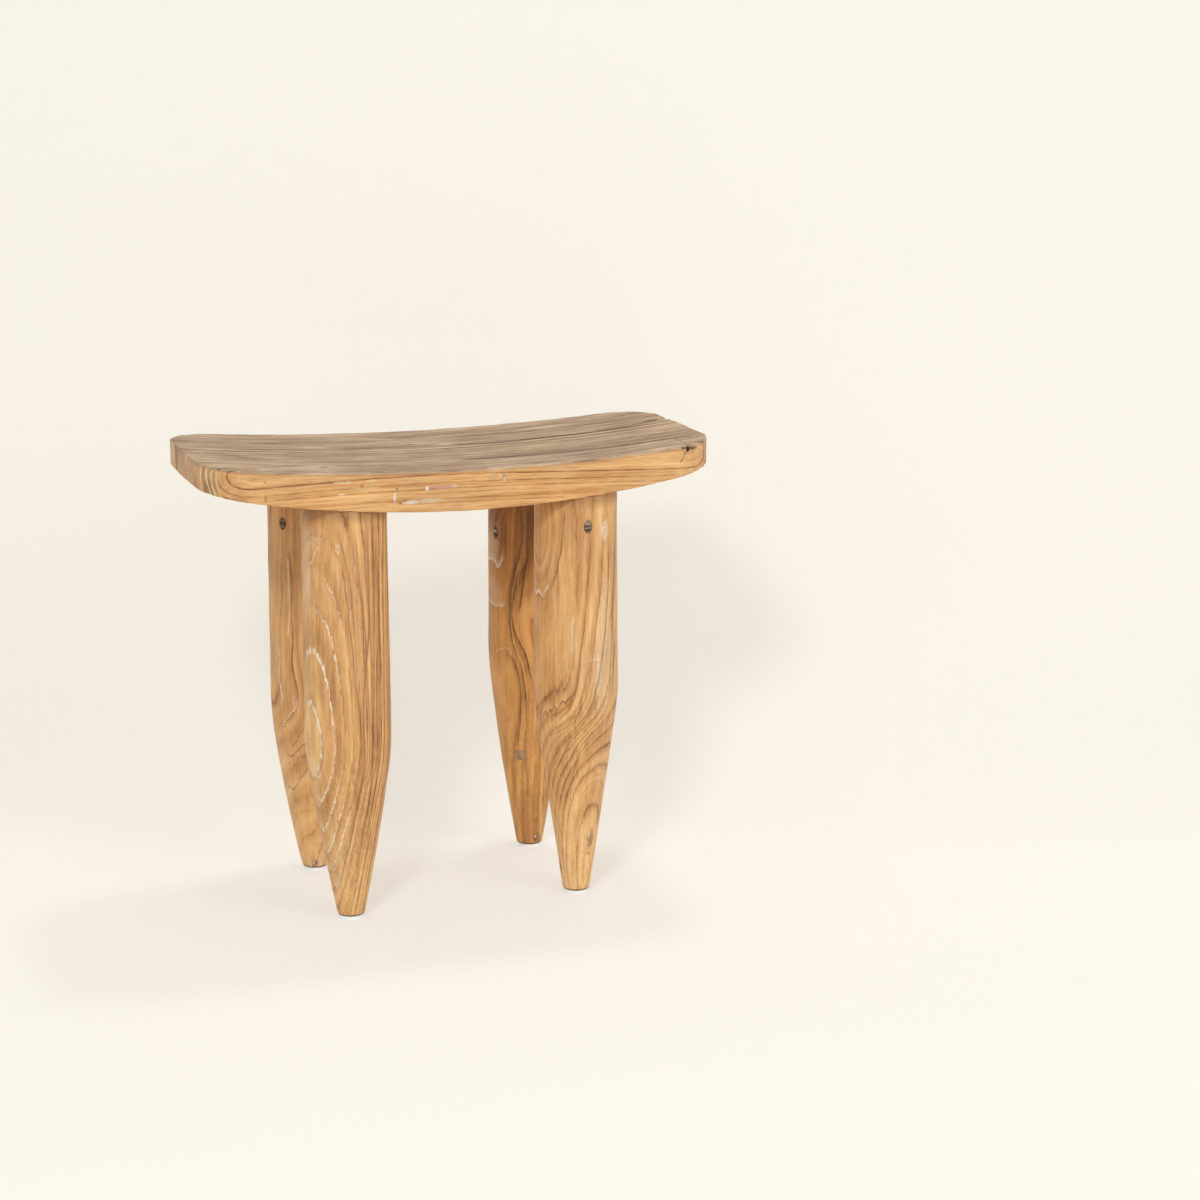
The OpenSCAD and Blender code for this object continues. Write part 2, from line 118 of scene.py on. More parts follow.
class Recipe:
    """One material. Any node comes from node(): its type, its settings, then its sockets in order."""

    def __init__(self, name):
        self.material = bpy.data.materials.new(name)
        self.material.use_nodes = True
        self.tree = self.material.node_tree
        self.tree.nodes.clear()
        self.output = self.tree.nodes.new("ShaderNodeOutputMaterial")

    def node(self, kind, settings, *values, out=0, **named):
        made = self.tree.nodes.new(kind)
        for key, setting in settings.items():
            if key == "stops":
                self.set_stops(made.color_ramp, setting)
            elif key == "curve":
                made.color_ramp.interpolation = setting
            else:
                setattr(made, key, setting)
        sockets = [s for s in made.inputs if s.enabled]
        for socket, value in list(zip(sockets, values)) + [
            (next(s for s in sockets if s.name == key.replace("_", " ")), v) for key, v in named.items()
        ]:
            if isinstance(value, Value):
                self.tree.links.new(value.socket, socket)
            elif value is not None:
                socket.default_value = value
        outputs = [s for s in made.outputs if s.enabled]
        return Value(self, outputs[out])

    def set_stops(self, ramp, stops):
        while len(ramp.elements) < len(stops):
            ramp.elements.new(0.5)
        for element, (position, colour) in zip(ramp.elements, stops):
            element.position = position
            element.color = colour

    def mix(self, share, low, high, blend="MIX"):
        """One colour over another, by a share from 0 to 1."""
        settings = {"data_type": "RGBA", "blend_type": blend, "clamp_factor": True}
        return self.node("ShaderNodeMix", settings, share, low, high)

    def noise(self, place, scale=1.0, detail=2.0, roughness=0.5):
        """Smooth noise round 0, from -0.5 to 0.5."""
        return self.node(
            "ShaderNodeTexNoise", {}, Vector=place, Scale=scale, Detail=detail, Roughness=roughness
        ) - 0.5

    def stretch(self, place, sizes):
        """A place counted in steps of other sizes along its three directions."""
        return self.node(
            "ShaderNodeVectorMath", {"operation": "MULTIPLY"}, place, tuple(1 / s for s in sizes)
        )

    def ramp(self, value, low, high):
        """0 below low, 1 above high, and a soft step between them."""
        settings = {"interpolation_type": "SMOOTHSTEP"}
        return self.node("ShaderNodeMapRange", settings, value, low, high, 0.0, 1.0)

    def tones(self, value, *stops):
        """A row of tones. Each stop is a position from 0 to 1 and a colour."""
        return self.node("ShaderNodeValToRGB", {"stops": stops}, value)

    def principled(self, colour, roughness, height=None, depth=0.0, **constants):
        """Closes the recipe with the main shader. Height is the relief, in shares of depth."""
        shader = self.tree.nodes.new("ShaderNodeBsdfPrincipled")
        for key, value in constants.items():
            shader.inputs[key.replace("_", " ")].default_value = value
        for key, value in (("Base Color", colour), ("Roughness", roughness)):
            if isinstance(value, Value):
                self.tree.links.new(value.socket, shader.inputs[key])
            else:
                shader.inputs[key].default_value = value
        if height is not None:
            relief = self.node("ShaderNodeBump", {}, Strength=1.0, Distance=depth, Height=height)
            self.tree.links.new(relief.socket, shader.inputs["Normal"])
        self.tree.links.new(shader.outputs[0], self.output.inputs[0])
        return self.material


def paint(red, green, blue):
    """A colour as it is read off a screen, 0 to 255, turned into the linear light that shaders use."""
    linear = [((c / 255 + 0.055) / 1.055) ** 2.4 for c in (red, green, blue)]
    return (*linear, 1.0)


# %% [markdown]
# ## Floor, backdrop and light
#
# A studio sweep is one sheet of paper that runs from the floor up the wall in a curve, so no
# horizon shows. Ours is a strip extruded upwards in short steps, close behind the stool, where it
# catches a soft shadow. Part of its cream colour is given straight to the camera, which keeps it
# even, and the rest is lit, which keeps the shadows. From behind and from below the paper is clear,
# so the stool can be looked at from every side.

# %% Floor and backdrop
PAPER = paint(246, 243, 235)
PAPER_GLOW = paint(247, 242, 233)
GLOW_SHARE = 0.55  # how much of the paper's colour doesn't depend on the lamps
SWEEP_FLAT = 0.20  # metres of floor behind the stool before the paper curves up
SWEEP_RADIUS, SWEEP_STEPS = 0.22, 16
SHEET_WIDTH, SHEET_FLOOR, SHEET_WALL = 9.0, 6.0, 1.1

bpy.ops.object.select_all(action="DESELECT")
bpy.ops.mesh.primitive_plane_add(size=1.0, location=(0, SWEEP_FLAT - SHEET_FLOOR / 2, 0))
backdrop = bpy.context.object
backdrop.name = "paper_sweep"
bpy.ops.transform.resize(value=(SHEET_WIDTH, SHEET_FLOOR, 1.0))
bpy.ops.object.transform_apply(location=True, rotation=True, scale=True)
for item in [*backdrop.data.vertices, *backdrop.data.polygons]:
    item.select = False
for edge in backdrop.data.edges:
    edge.select = all(backdrop.data.vertices[v].co.y > SWEEP_FLAT - 0.01 for v in edge.vertices)
bpy.ops.object.mode_set(mode="EDIT")
bpy.ops.mesh.select_mode(type="EDGE")
for step in range(SWEEP_STEPS):
    bend = math.radians(90 * (step + 0.5) / SWEEP_STEPS)
    length = SWEEP_RADIUS * math.radians(90 / SWEEP_STEPS)
    rise = (0, length * math.cos(bend), length * math.sin(bend))
    bpy.ops.mesh.extrude_region_move(TRANSFORM_OT_translate={"value": rise})
bpy.ops.mesh.extrude_region_move(TRANSFORM_OT_translate={"value": (0, 0, SHEET_WALL)})
bpy.ops.mesh.select_all(action="SELECT")
bpy.ops.mesh.normals_make_consistent(inside=False)
bpy.ops.object.mode_set(mode="OBJECT")
if backdrop.data.polygons[0].normal.z < 0:
    backdrop.data.flip_normals()
bpy.ops.object.shade_smooth()
backdrop.rotation_euler.z = camera.rotation_euler.z
print("paper faces:", len(backdrop.data.polygons), "facing up:", backdrop.data.polygons[0].normal.z > 0)

sweep = Recipe("cream_paper")
seen = sweep.node("ShaderNodeLightPath", {}, out=0)
mirrored = sweep.node("ShaderNodeLightPath", {}, out=3)
behind = sweep.node("ShaderNodeNewGeometry", {}, out=6)
lit = sweep.node("ShaderNodeBsdfDiffuse", {}, PAPER)
glow = sweep.node("ShaderNodeEmission", {}, PAPER_GLOW, 1.0)
clear = sweep.node("ShaderNodeBsdfTransparent", {})
sheet = sweep.node("ShaderNodeMixShader", {}, GLOW_SHARE * seen.math("MAXIMUM", mirrored), lit, glow)
sheet = sweep.node("ShaderNodeMixShader", {}, behind, sheet, clear)
sweep.tree.links.new(sheet.socket, sweep.output.inputs[0])
backdrop.data.materials.append(sweep.material)

# %% [markdown]
# The light is plain. A bright sky all round gives most of it. A small lamp low on the left throws
# the soft shadow on the paper, one almost overhead throws the oval shadow of the seat on the
# floor, and a large one fills in from the front.

# %% Lamps and sky
def soft_lamp(name, place, target, width, watts):
    """A square lamp that points at a target."""
    lamp_data = bpy.data.lights.new(name, "AREA")
    lamp_data.size = width
    lamp_data.energy = watts
    lamp = bpy.data.objects.new(name, lamp_data)
    lamp.location = place
    lamp.rotation_euler = (Vector(target) - Vector(place)).to_track_quat("-Z", "Y").to_euler()
    bpy.context.scene.collection.objects.link(lamp)


soft_lamp("left_lamp", (-1.1, -2.0, 1.95), (0, 0, 0.3), 0.42, 28)
soft_lamp("overhead_lamp", (0.5, 0.42, 2.45), (0, 0, 0.3), 0.3, 12)
soft_lamp("front_lamp", (1.7, -2.5, 1.7), (0, 0, 0.25), 1.8, 28)
sky = bpy.data.worlds.new("sky")
bpy.context.scene.world = sky
sky.use_nodes = True
sky_light = sky.node_tree.nodes["Background"]
sky_light.inputs["Color"].default_value = (1.0, 0.985, 0.96, 1.0)
sky_light.inputs["Strength"].default_value = 0.5
sky_paper = sky.node_tree.nodes.new("ShaderNodeBackground")
sky_paper.inputs["Color"].default_value = paint(248, 244, 233)
sky_path = sky.node_tree.nodes.new("ShaderNodeLightPath")
sky_choice = sky.node_tree.nodes.new("ShaderNodeMixShader")
for start, end in (
    (sky_path.outputs["Is Camera Ray"], sky_choice.inputs[0]),
    (sky_light.outputs[0], sky_choice.inputs[1]),
    (sky_paper.outputs[0], sky_choice.inputs[2]),
    (sky_choice.outputs[0], sky.node_tree.nodes["World Output"].inputs[0]),
):
    sky.node_tree.links.new(start, end)
bpy.context.scene.view_settings.view_transform = "Standard"

# %% [markdown]
# ## Shaping tools
#
# The workshop has few tools. `turn` makes a round piece as a lathe does: a disc is extruded and
# resized from one height to the next. `carve` cuts one piece with another. `soften` rounds the
# sharp edges with a bevel, and `weather` adds the slight unevenness of hand sanding.

# %% The tools
def shift(x, y, z=0.0):
    """A move by so many mm."""
    return Matrix.Translation((x * MM, y * MM, z * MM))


def spin(degrees, axis):
    """A turn about an axis through the origin."""
    return Matrix.Rotation(math.radians(degrees), 4, axis)


def discard(*pieces):
    """Throws pieces away."""
    for piece in pieces:
        bpy.data.objects.remove(piece, do_unlink=True)


def begin():
    """Back to object mode with nothing selected, as every step starts."""
    if bpy.context.object and bpy.context.object.mode != "OBJECT":
        bpy.ops.object.mode_set(mode="OBJECT")
    bpy.ops.object.select_all(action="DESELECT")


def pick(piece):
    """Makes a piece the only selected one."""
    begin()
    bpy.context.view_layer.objects.active = piece
    piece.select_set(True)


def settle(piece):
    """Moves a piece's place, turn and size into its mesh, and points its faces outwards."""
    pick(piece)
    bpy.ops.object.transform_apply(location=True, rotation=True, scale=True)
    bpy.ops.object.mode_set(mode="EDIT")
    bpy.ops.mesh.select_all(action="SELECT")
    bpy.ops.mesh.remove_doubles(threshold=0.000001)
    bpy.ops.mesh.normals_make_consistent(inside=False)
    bpy.ops.object.mode_set(mode="OBJECT")


def turn(name, profile, segments, matrix=None):
    """A round piece about the Z axis, through the given (radius, height) pairs in mm."""
    begin()
    radius, height = profile[0]
    bpy.ops.mesh.primitive_circle_add(
        vertices=segments, radius=radius * MM, fill_type="NGON", location=(0, 0, height * MM)
    )
    piece = bpy.context.object
    piece.name = name
    bpy.ops.object.mode_set(mode="EDIT")
    bpy.ops.mesh.select_all(action="SELECT")
    for next_radius, next_height in profile[1:]:
        step = (0, 0, (next_height - height) * MM)
        bpy.ops.mesh.extrude_region_move(TRANSFORM_OT_translate={"value": step})
        share = next_radius / radius
        bpy.ops.transform.resize(value=(share, share, 1), center_override=(0, 0, next_height * MM))
        radius, height = next_radius, next_height
    bpy.ops.object.mode_set(mode="OBJECT")
    if matrix is not None:
        piece.matrix_world = matrix @ piece.matrix_world
    settle(piece)
    return piece


def finish_modifier(piece, kind, **settings):
    """Adds a modifier with its settings and applies it at once."""
    pick(piece)
    bpy.ops.object.modifier_add(type=kind)
    modifier = piece.modifiers[-1]
    for key, value in settings.items():
        setattr(modifier, key, value)
    bpy.ops.object.modifier_apply(modifier=modifier.name)


def carve(piece, tool, operation="DIFFERENCE"):
    """Cuts a piece with a tool, which is thrown away afterwards."""
    finish_modifier(piece, "BOOLEAN", operation=operation, solver="EXACT", object=tool)
    discard(tool)


def copy_of(piece, name):
    """A copy with a mesh of its own."""
    made = piece.copy()
    made.data = piece.data.copy()
    made.name = name
    bpy.context.scene.collection.objects.link(made)
    return made


def soften(piece, width, segments=3, angle=40):
    """Rounds the edges that are sharper than an angle."""
    finish_modifier(
        piece,
        "BEVEL",
        width=width * MM,
        segments=segments,
        limit_method="ANGLE",
        angle_limit=math.radians(angle),
        harden_normals=False,
    )


def weather(piece, depth, size):
    """Uneven sanding: a soft displacement of the surface, a fraction of a millimetre deep."""
    clouds = bpy.data.textures.new("uneven_sanding", "CLOUDS")
    clouds.noise_scale = size * MM
    clouds.noise_depth = 1
    finish_modifier(
        piece, "DISPLACE", texture=clouds, strength=depth * MM, mid_level=0.5, texture_coords="LOCAL"
    )


def spindle(name, place, length, width, depth, heading=0.0, tilt=0.0):
    """A long thin spindle, the cutter for a crack: widest in its middle and pointed at both ends."""
    shape = [(0.02 + 0.48 * math.sin(math.pi * step / 12) ** 0.7, step / 12 - 0.5) for step in range(13)]
    matrix = (
        shift(*place) @ spin(heading, "Z") @ spin(90 + tilt, "Y")
        @ Matrix.Diagonal((2 * depth, width, length, 1))
    )
    return turn(name, shape, 10, matrix)


def shade(piece, angle=35):
    """Smooth shading that keeps the real edges sharp."""
    pick(piece)
    bpy.ops.object.shade_smooth_by_angle(angle=math.radians(angle))


# %% [markdown]
# ## The wood
#
# The grain on a plank is not drawn on it: it is where the plank's surface cuts through the rings
# of the tree. So the recipe measures, at every point, how far that point lies from the heart, the
# line at the middle of the trunk. Where that distance crosses a ring, it is drawn dark. Knots push
# the rings aside, which a few soft bumps in the distance imitate. Straight lines, arches and
# closed eyes then appear by themselves wherever the shape is cut across the rings.

# %% The wood recipe: place and rings
class Rings(Recipe):
    """The rings of a tree round its heart. Sizes are in mm, places are from the piece's own centre."""

    def __init__(self, name, along, centre, seed):
        super().__init__(name)
        place = self.node("ShaderNodeTexCoord", {}, out=3)
        place = self.node("ShaderNodeVectorMath", {"operation": "SCALE"}, place, Scale=1 / MM)
        self.place = self.node("ShaderNodeVectorMath", {"operation": "SUBTRACT"}, place, centre)
        self.x, self.y, self.z = (
            self.node("ShaderNodeSeparateXYZ", {}, self.place, out=axis) for axis in range(3)
        )
        order = {"X": (self.y, self.z, self.x), "Y": (self.x, self.z, self.y), "Z": (self.x, self.y, self.z)}
        self.across, self.side, self.length = order[along]
        self.grain = self.node("ShaderNodeCombineXYZ", {}, self.across, self.side, self.length + seed)
        self.ragged = self.noise(self.stretch(self.grain, (3, 3, 7)), detail=2.0)

    def grain_noise(self, width, length, detail=2.0):
        """Noise that is drawn out along the grain."""
        return self.noise(self.stretch(self.grain, (width, width, length)), detail=detail)

    def reach(self, where, size):
        """0 at a place and 1 on an ellipsoid round it."""
        offset = self.node("ShaderNodeVectorMath", {"operation": "SUBTRACT"}, self.place, where)
        offset = self.stretch(offset, size)
        return self.node("ShaderNodeVectorMath", {"operation": "LENGTH"}, offset, out=0)

    def grow(self, heart, knots=(), waves=2.0, ripples=0.9, teeth=1.0):
        """Distance from the heart: six numbers give its place, slope and bow across the grain."""
        a0, b0, a1, b1, a2, b2 = heart
        from_a = self.across - (self.length * (self.length * a2 + a1) + a0)
        from_b = self.side - (self.length * (self.length * b2 + b1) + b0)
        self.distance = (from_a * from_a + from_b * from_b).math("SQRT")
        for where, size, push in knots:
            reach = self.reach(where, size)
            self.distance = self.distance + push * (-(reach * reach)).math("EXPONENT")
        self.distance = self.distance + waves * self.grain_noise(45, 170, 1.0)
        self.distance = self.distance + ripples * self.grain_noise(9, 60)
        self.distance = self.distance + teeth * self.grain_noise(1.2, 14)

    def even_rings(self, start, spacing):
        """Rings that are evenly spaced, some strong and some faint."""
        count = (self.distance - start) / spacing
        step = count.math("FRACT")
        luck = self.node("ShaderNodeTexWhiteNoise", {"noise_dimensions": "1D"}, (count + 0.5).math("FLOOR"))
        self.pore_line = (-13.0 * step).math("EXPONENT") + (-18.0 * (1.0 - step)).math("EXPONENT")
        late_wood = (-3.6 * (1.0 - step)).math("EXPONENT") * 0.6
        self.line = (self.pore_line * 0.6 + late_wood) * (0.35 + 0.9 * luck)

    def chosen_rings(self, rings, reach=80.0, drop=0.5):
        """Rings at chosen distances with chosen strengths: a slow rise and a sudden end."""
        stops = [(0.0, (0.0, 0.0, 0.0, 1.0))]
        for distance, strength in rings:
            stops.append((distance / reach, (strength, strength, strength, 1.0)))
            stops.append(((distance + drop) / reach, (0.0, 0.0, 0.0, 1.0)))
        rise = self.tones(self.distance / reach, *stops)
        self.line = rise.math("POWER", 2.6)
        self.pore_line = self.line

    def favour(self, where, size, factor):
        """Makes the rings stronger or fainter round a place."""
        share = 1.0 + self.ramp(self.reach(where, size), 1.0, 0.5) * (factor - 1.0)
        self.line = self.line * share
        self.pore_line = self.pore_line * share

# %% [markdown]
# Between the rings the wood has fibres, open pores and slow changes of tone. Most of them are
# noise that is drawn out along the grain, at four sizes, and one follows the rings, because whole
# groups of years grew darker than others. Their sum picks a tone from two rows of tones, a golden
# and a duller one. Marks such as knots, chalk and filler are laid over it one by one, and so are
# the few dark lines that everyone would notice if they were missing.

# %% The wood recipe: tones and marks
MIDDLE_TONE = 0.36
TONE_STOPS = (0.0, MIDDLE_TONE, 0.75, 1.0)


class Timber(Rings):
    """Wood with its tones, fibres, pores and marks."""

    def colour_in(self, golden, rosy, line_strength=0.75, contrast=1.0, painted_shading_and_grime=0.0):
        """Picks the tones. Each row runs from pale through the middle tone to the darkest line."""
        self.fibre = self.grain_noise(0.8, 16, 3.0)
        streak = self.grain_noise(4, 70)
        cloud = self.grain_noise(34, 90)
        years = self.node(
            "ShaderNodeTexNoise", {"noise_dimensions": "1D"}, W=self.distance / 6.0, Scale=1.0, Detail=2.0
        ) - 0.5
        self.pores = self.ramp(self.grain_noise(0.6, 7, 1.0), 0.12, 0.24)
        line = self.line * (0.8 + 2.2 * self.grain_noise(14, 32))
        # painted_shading_and_grime moves the tone up or down; the legs use it for painted shade and painted
        # light.
        shade = MIDDLE_TONE + painted_shading_and_grime + line * line_strength + self.pores * 0.16 - contrast * (
            self.fibre * 0.62 + streak * 0.62 + cloud * 0.5 + years * 0.75
        )
        self.shade = shade
        warmth = self.ramp(self.grain_noise(30, 80) + 0.5, 0.35, 0.65)
        rows = [self.tones(shade, *zip(TONE_STOPS, row)) for row in (golden, rosy)]
        self.colour = self.mix(warmth, *rows)
        self.relief = 0.5 - line * 0.35 - self.pores * 0.3 + self.fibre * 0.5
        self.roughness = 0.5 + 0.15 * line + 0.2 * self.fibre

    def mark(self, where, size, colour, amount, grit=0.0):
        """A spot of another colour with a ragged edge. Grit breaks it up into specks."""
        near = self.ramp(self.reach(where, size) + (0.9 + 2.0 * grit) * self.ragged, 1.0, 0.45) * amount
        if grit:
            specks = self.noise(self.stretch(self.place, (2.0, 2.0, 2.6)), detail=3.0)
            near = near * (1.0 - grit + grit * self.ramp(specks, -0.02, 0.12))
        self.colour = self.mix(near, self.colour, colour)

    def stroke(self, run, off, points, width, colour, amount, teeth=1.0, fade=0.0, curve="CARDINAL"):
        """A line that wanders through points of run and offset in mm. It may fade off to its lower
        side, or to its upper side where fade is negative."""
        start, end = min(run_mm for run_mm, _ in points), max(run_mm for run_mm, _ in points)
        low, high = min(off_mm for _, off_mm in points) - 1, max(off_mm for _, off_mm in points) + 1
        stops = [
            ((run_mm - start) / (end - start), ((off_mm - low) / (high - low),) * 3 + (1.0,))
            for run_mm, off_mm in sorted(points)
        ]
        share = (run - start) / (end - start)
        path = self.node("ShaderNodeValToRGB", {"stops": stops, "curve": curve}, share) * (high - low) + low
        away = off - path + teeth * 5.0 * self.grain_noise(1.6, 9)
        near = self.ramp(away.math("ABSOLUTE"), width, 0.3 * width)
        if fade:
            side = away * math.copysign(1.0, fade)
            soft = self.ramp(side, -abs(fade), 0.0) * self.ramp(side, width, 0.0) * 0.55
            near = near.math("MAXIMUM", soft)
        near = near * self.ramp(share, 0.0, 0.1) * self.ramp(share, 1.0, 0.9)
        near = near * (0.85 + 1.4 * self.grain_noise(9, 22)) * amount
        self.colour = self.mix(near, self.colour, colour)

    def lime(self, where, size, amount):
        """Chalky residue that has stayed in the open pores along the rings."""
        near = self.ramp(self.reach(where, size), 1.0, 0.35)
        trace = self.ramp(self.pore_line, 0.3, 0.75) * self.ramp(self.ragged, -0.14, -0.02)
        self.colour = self.mix(near * trace * amount, self.colour, LIME)

    def close(self, depth=0.00035, **constants):
        """Joins the shader and returns the material."""
        return self.principled(self.colour, self.roughness, self.relief, depth, **constants)


LIME = paint(240, 229, 208)
GOLDEN = (paint(246, 206, 146), paint(217, 167, 106), paint(162, 108, 58), paint(104, 62, 30))
ROSY = (paint(236, 196, 142), paint(205, 154, 98), paint(152, 100, 54), paint(98, 58, 28))

# %% [markdown]
# ## The seat
#
# The seat is sawn from one glued blank: its outline has bowed sides and ends and round corners,
# its underside bellies down, and its top is hollowed along its length. We saw it the same way.
# A disc of many points is set out along the outline and raised to a block, then two very large
# cylinders cut the belly and the hollow, and a bevel softens the rims.

# %% Set out the outline
SEAT_LENGTH, SEAT_DEPTH = 500.0, 238.0
SIDE_RADIUS, END_RADIUS, CORNER_RADIUS = 5000.0, 1850.0, 52.0
SEAT_HEIGHT, SEAT_THICKNESS = 435.0, 39.0
DISH_RADIUS, BELLY_RADIUS = 2530.0, 1200.0
OUTLINE_POINTS = 288
BLOCK_FLOOR, BLOCK_RISE = 0.38, 0.1  # in metres

side_centre = Vector((0, SEAT_DEPTH / 2 - SIDE_RADIUS))
end_centre = Vector((SEAT_LENGTH / 2 - END_RADIUS, 0))
gap = end_centre - side_centre
to_side, to_end = SIDE_RADIUS - CORNER_RADIUS, END_RADIUS - CORNER_RADIUS
along_gap = (to_side**2 - to_end**2 + gap.length_squared) / (2 * gap.length)
across_gap = math.sqrt(to_side**2 - along_gap**2)
gap.normalize()
corner_centre = side_centre + along_gap * gap + across_gap * Vector((gap.y, -gap.x))
side_angle = (corner_centre - side_centre).angle(Vector((0, 1)))
end_angle = (corner_centre - end_centre).angle(Vector((1, 0)))


def quarter_outline(points):
    """Points from the middle of the rear side to the middle of the right end, evenly spaced."""
    arcs = [
        (side_centre, SIDE_RADIUS, math.pi / 2, math.pi / 2 - side_angle),
        (corner_centre, CORNER_RADIUS, math.pi / 2 - side_angle, end_angle),
        (end_centre, END_RADIUS, end_angle, 0.0),
    ]
    lengths = [radius * (start - end) for _, radius, start, end in arcs]
    made = []
    for index in range(points):
        walk = sum(lengths) * index / points
        for (centre, radius, start, end), length in zip(arcs, lengths):
            if walk <= length:
                angle = start - walk / radius
                made.append((centre.x + radius * math.cos(angle), centre.y + radius * math.sin(angle)))
                break
            walk -= length
    return made


quarter = quarter_outline(OUTLINE_POINTS // 4)
half = quarter + [(x, -y) for x, y in [(SEAT_LENGTH / 2, 0)] + quarter[:0:-1]]
outline = half + [(-x, -y) for x, y in half]
print("outline points:", len(outline), "corner centre:", [round(c, 1) for c in corner_centre])

# %% Saw the blank
def belly_z(x):
    """Height of the seat's underside."""
    return SEAT_HEIGHT - SEAT_THICKNESS + BELLY_RADIUS - math.sqrt(BELLY_RADIUS**2 - x**2)


def cross_cylinder(radius, lowest):
    """A cylinder across the seat, given its lowest line."""
    begin()
    bpy.ops.mesh.primitive_cylinder_add(
        vertices=1440,
        radius=radius * MM,
        depth=0.4,
        location=(0, 0, (lowest + radius) * MM),
        rotation=(math.pi / 2, 0, 0),
    )
    settle(bpy.context.object)
    return bpy.context.object


begin()
bpy.ops.mesh.primitive_circle_add(
    vertices=len(outline), radius=0.1, fill_type="NGON", location=(0, 0, BLOCK_FLOOR)
)
seat = bpy.context.object
seat.name = "seat_blank"
bpy.ops.object.transform_apply(location=True, rotation=True, scale=True)
circle = [vertex.co.copy() for vertex in seat.data.vertices]
order = sorted(range(len(outline)), key=lambda i: math.atan2(circle[i].x, circle[i].y) % (2 * math.pi))
for index, (x, y) in zip(order, outline):
    seat.data.vertices[index].co = (x * MM, y * MM, BLOCK_FLOOR)
bpy.ops.object.mode_set(mode="EDIT")
bpy.ops.mesh.select_all(action="SELECT")
bpy.ops.mesh.extrude_region_move(TRANSFORM_OT_translate={"value": (0, 0, BLOCK_RISE)})
bpy.ops.object.mode_set(mode="OBJECT")
settle(seat)
carve(seat, cross_cylinder(BELLY_RADIUS, SEAT_HEIGHT - SEAT_THICKNESS), "INTERSECT")
carve(seat, cross_cylinder(DISH_RADIUS, SEAT_HEIGHT))
soften(seat, 2.4)
print("seat blank faces:", len(seat.data.polygons), "size:", [round(d / MM, 2) for d in seat.dimensions])

# %% [markdown]
# Sawing leaves a few huge faces. The blank is rebuilt as an even skin of small squares, which
# can take the slight waves of hand sanding. It loses a fifth of a millimetre all round, so that the
# waves stay inside the true outline, and is then parted along the two glue joints.

# %% Sand the blank and part it into boards
SKIN_SQUARE = 1.7
SANDED_AWAY = (0.9992, 0.9983, 1.0)
finish_modifier(seat, "REMESH", mode="VOXEL", voxel_size=SKIN_SQUARE * MM)
finish_modifier(seat, "SMOOTH", factor=0.5, iterations=2)
weather(seat, 0.5, 55)
pick(seat)
bpy.ops.transform.resize(value=SANDED_AWAY, center_override=(0, 0, 0))
settle(seat)
print("seat skin faces:", len(seat.data.polygons))

FRONT_JOINT, REAR_JOINT = -66.5, 21.0
GLUE_LINE = 0.1


def board(name, low, high):
    """The slice of the seat between two planes across Y, with its glued edges just broken."""
    piece = copy_of(seat, name)
    pick(piece)
    for y, keep_low in ((low, False), (high, True)):
        if y is None:
            continue
        bpy.ops.object.mode_set(mode="EDIT")
        bpy.ops.mesh.select_all(action="SELECT")
        bpy.ops.mesh.bisect(
            plane_co=(0, y * MM, 0),
            plane_no=(0, 1, 0),
            use_fill=True,
            clear_outer=keep_low,
            clear_inner=not keep_low,
        )
        bpy.ops.object.mode_set(mode="OBJECT")
    settle(piece)
    soften(piece, 0.35, segments=1, angle=60)
    print(name, "faces:", len(piece.data.polygons))
    return piece


boards = {
    "front": board("front_board", None, FRONT_JOINT - GLUE_LINE / 2),
    "middle": board("middle_board", FRONT_JOINT + GLUE_LINE / 2, REAR_JOINT - GLUE_LINE / 2),
    "rear": board("rear_board", REAR_JOINT + GLUE_LINE / 2, None),
}
discard(seat)

# %% [markdown]
# ## The wood of the seat
#
# The front board was cut with the tree's heart close to its top front edge. Its rings show as level
# lines on the front, where the strong years are set one by one, and they curl up round both ends.
# The top has greyed with light and wear, so a thin skin there loses its orange.

# %% Wood of the boards
GREY = (paint(208, 182, 150), paint(176, 148, 118), paint(134, 104, 76), paint(76, 52, 34))
GREY_ROSY = (paint(198, 172, 140), paint(168, 139, 108), paint(126, 96, 70), paint(74, 50, 32))
FRONT_YEARS = [
    (8.5, 0.3), (11.2, 0.45), (14.0, 1.0), (17.2, 0.4), (20.2, 0.85), (24.9, 0.8), (28.9, 0.7),
    (33.8, 0.55), (37.3, 0.75), (42.0, 0.6), (48.0, 0.85), (54.0, 0.6), (60.0, 0.7), (67.0, 0.6), (74.0, 0.6),
]
SEAT_ORANGE = (paint(236, 190, 128), paint(210, 159, 100), paint(170, 112, 60), paint(112, 66, 32))
SEAT_PALE = (paint(231, 190, 134), paint(205, 160, 106), paint(168, 116, 66), paint(114, 72, 38))


def grey_the_top(timber):
    """A thin weathered skin on the hollow of the seat, with a darker rim where it ends."""
    below = timber.x * timber.x * (1 / (2 * DISH_RADIUS)) + SEAT_HEIGHT - timber.z
    below = below + 0.8 * timber.ragged
    shade = (timber.shade - MIDDLE_TONE) * 1.35 + 0.38 - 0.5 * timber.grain_noise(3, 150)
    worn = timber.mix(timber.ramp(timber.grain_noise(24, 90) + 0.5, 0.35, 0.65), *(
        timber.tones(shade, *zip(TONE_STOPS, row)) for row in (GREY, GREY_ROSY)
    ))
    rim = timber.ramp(below, 0.6, 2.0) * timber.ramp(below, 4.2, 2.2)
    timber.colour = timber.mix(0.45 * rim, timber.colour, paint(150, 100, 58))
    timber.colour = timber.mix(timber.ramp(below, 2.4, 1.2), timber.colour, worn)
    timber.roughness = timber.roughness + 0.12


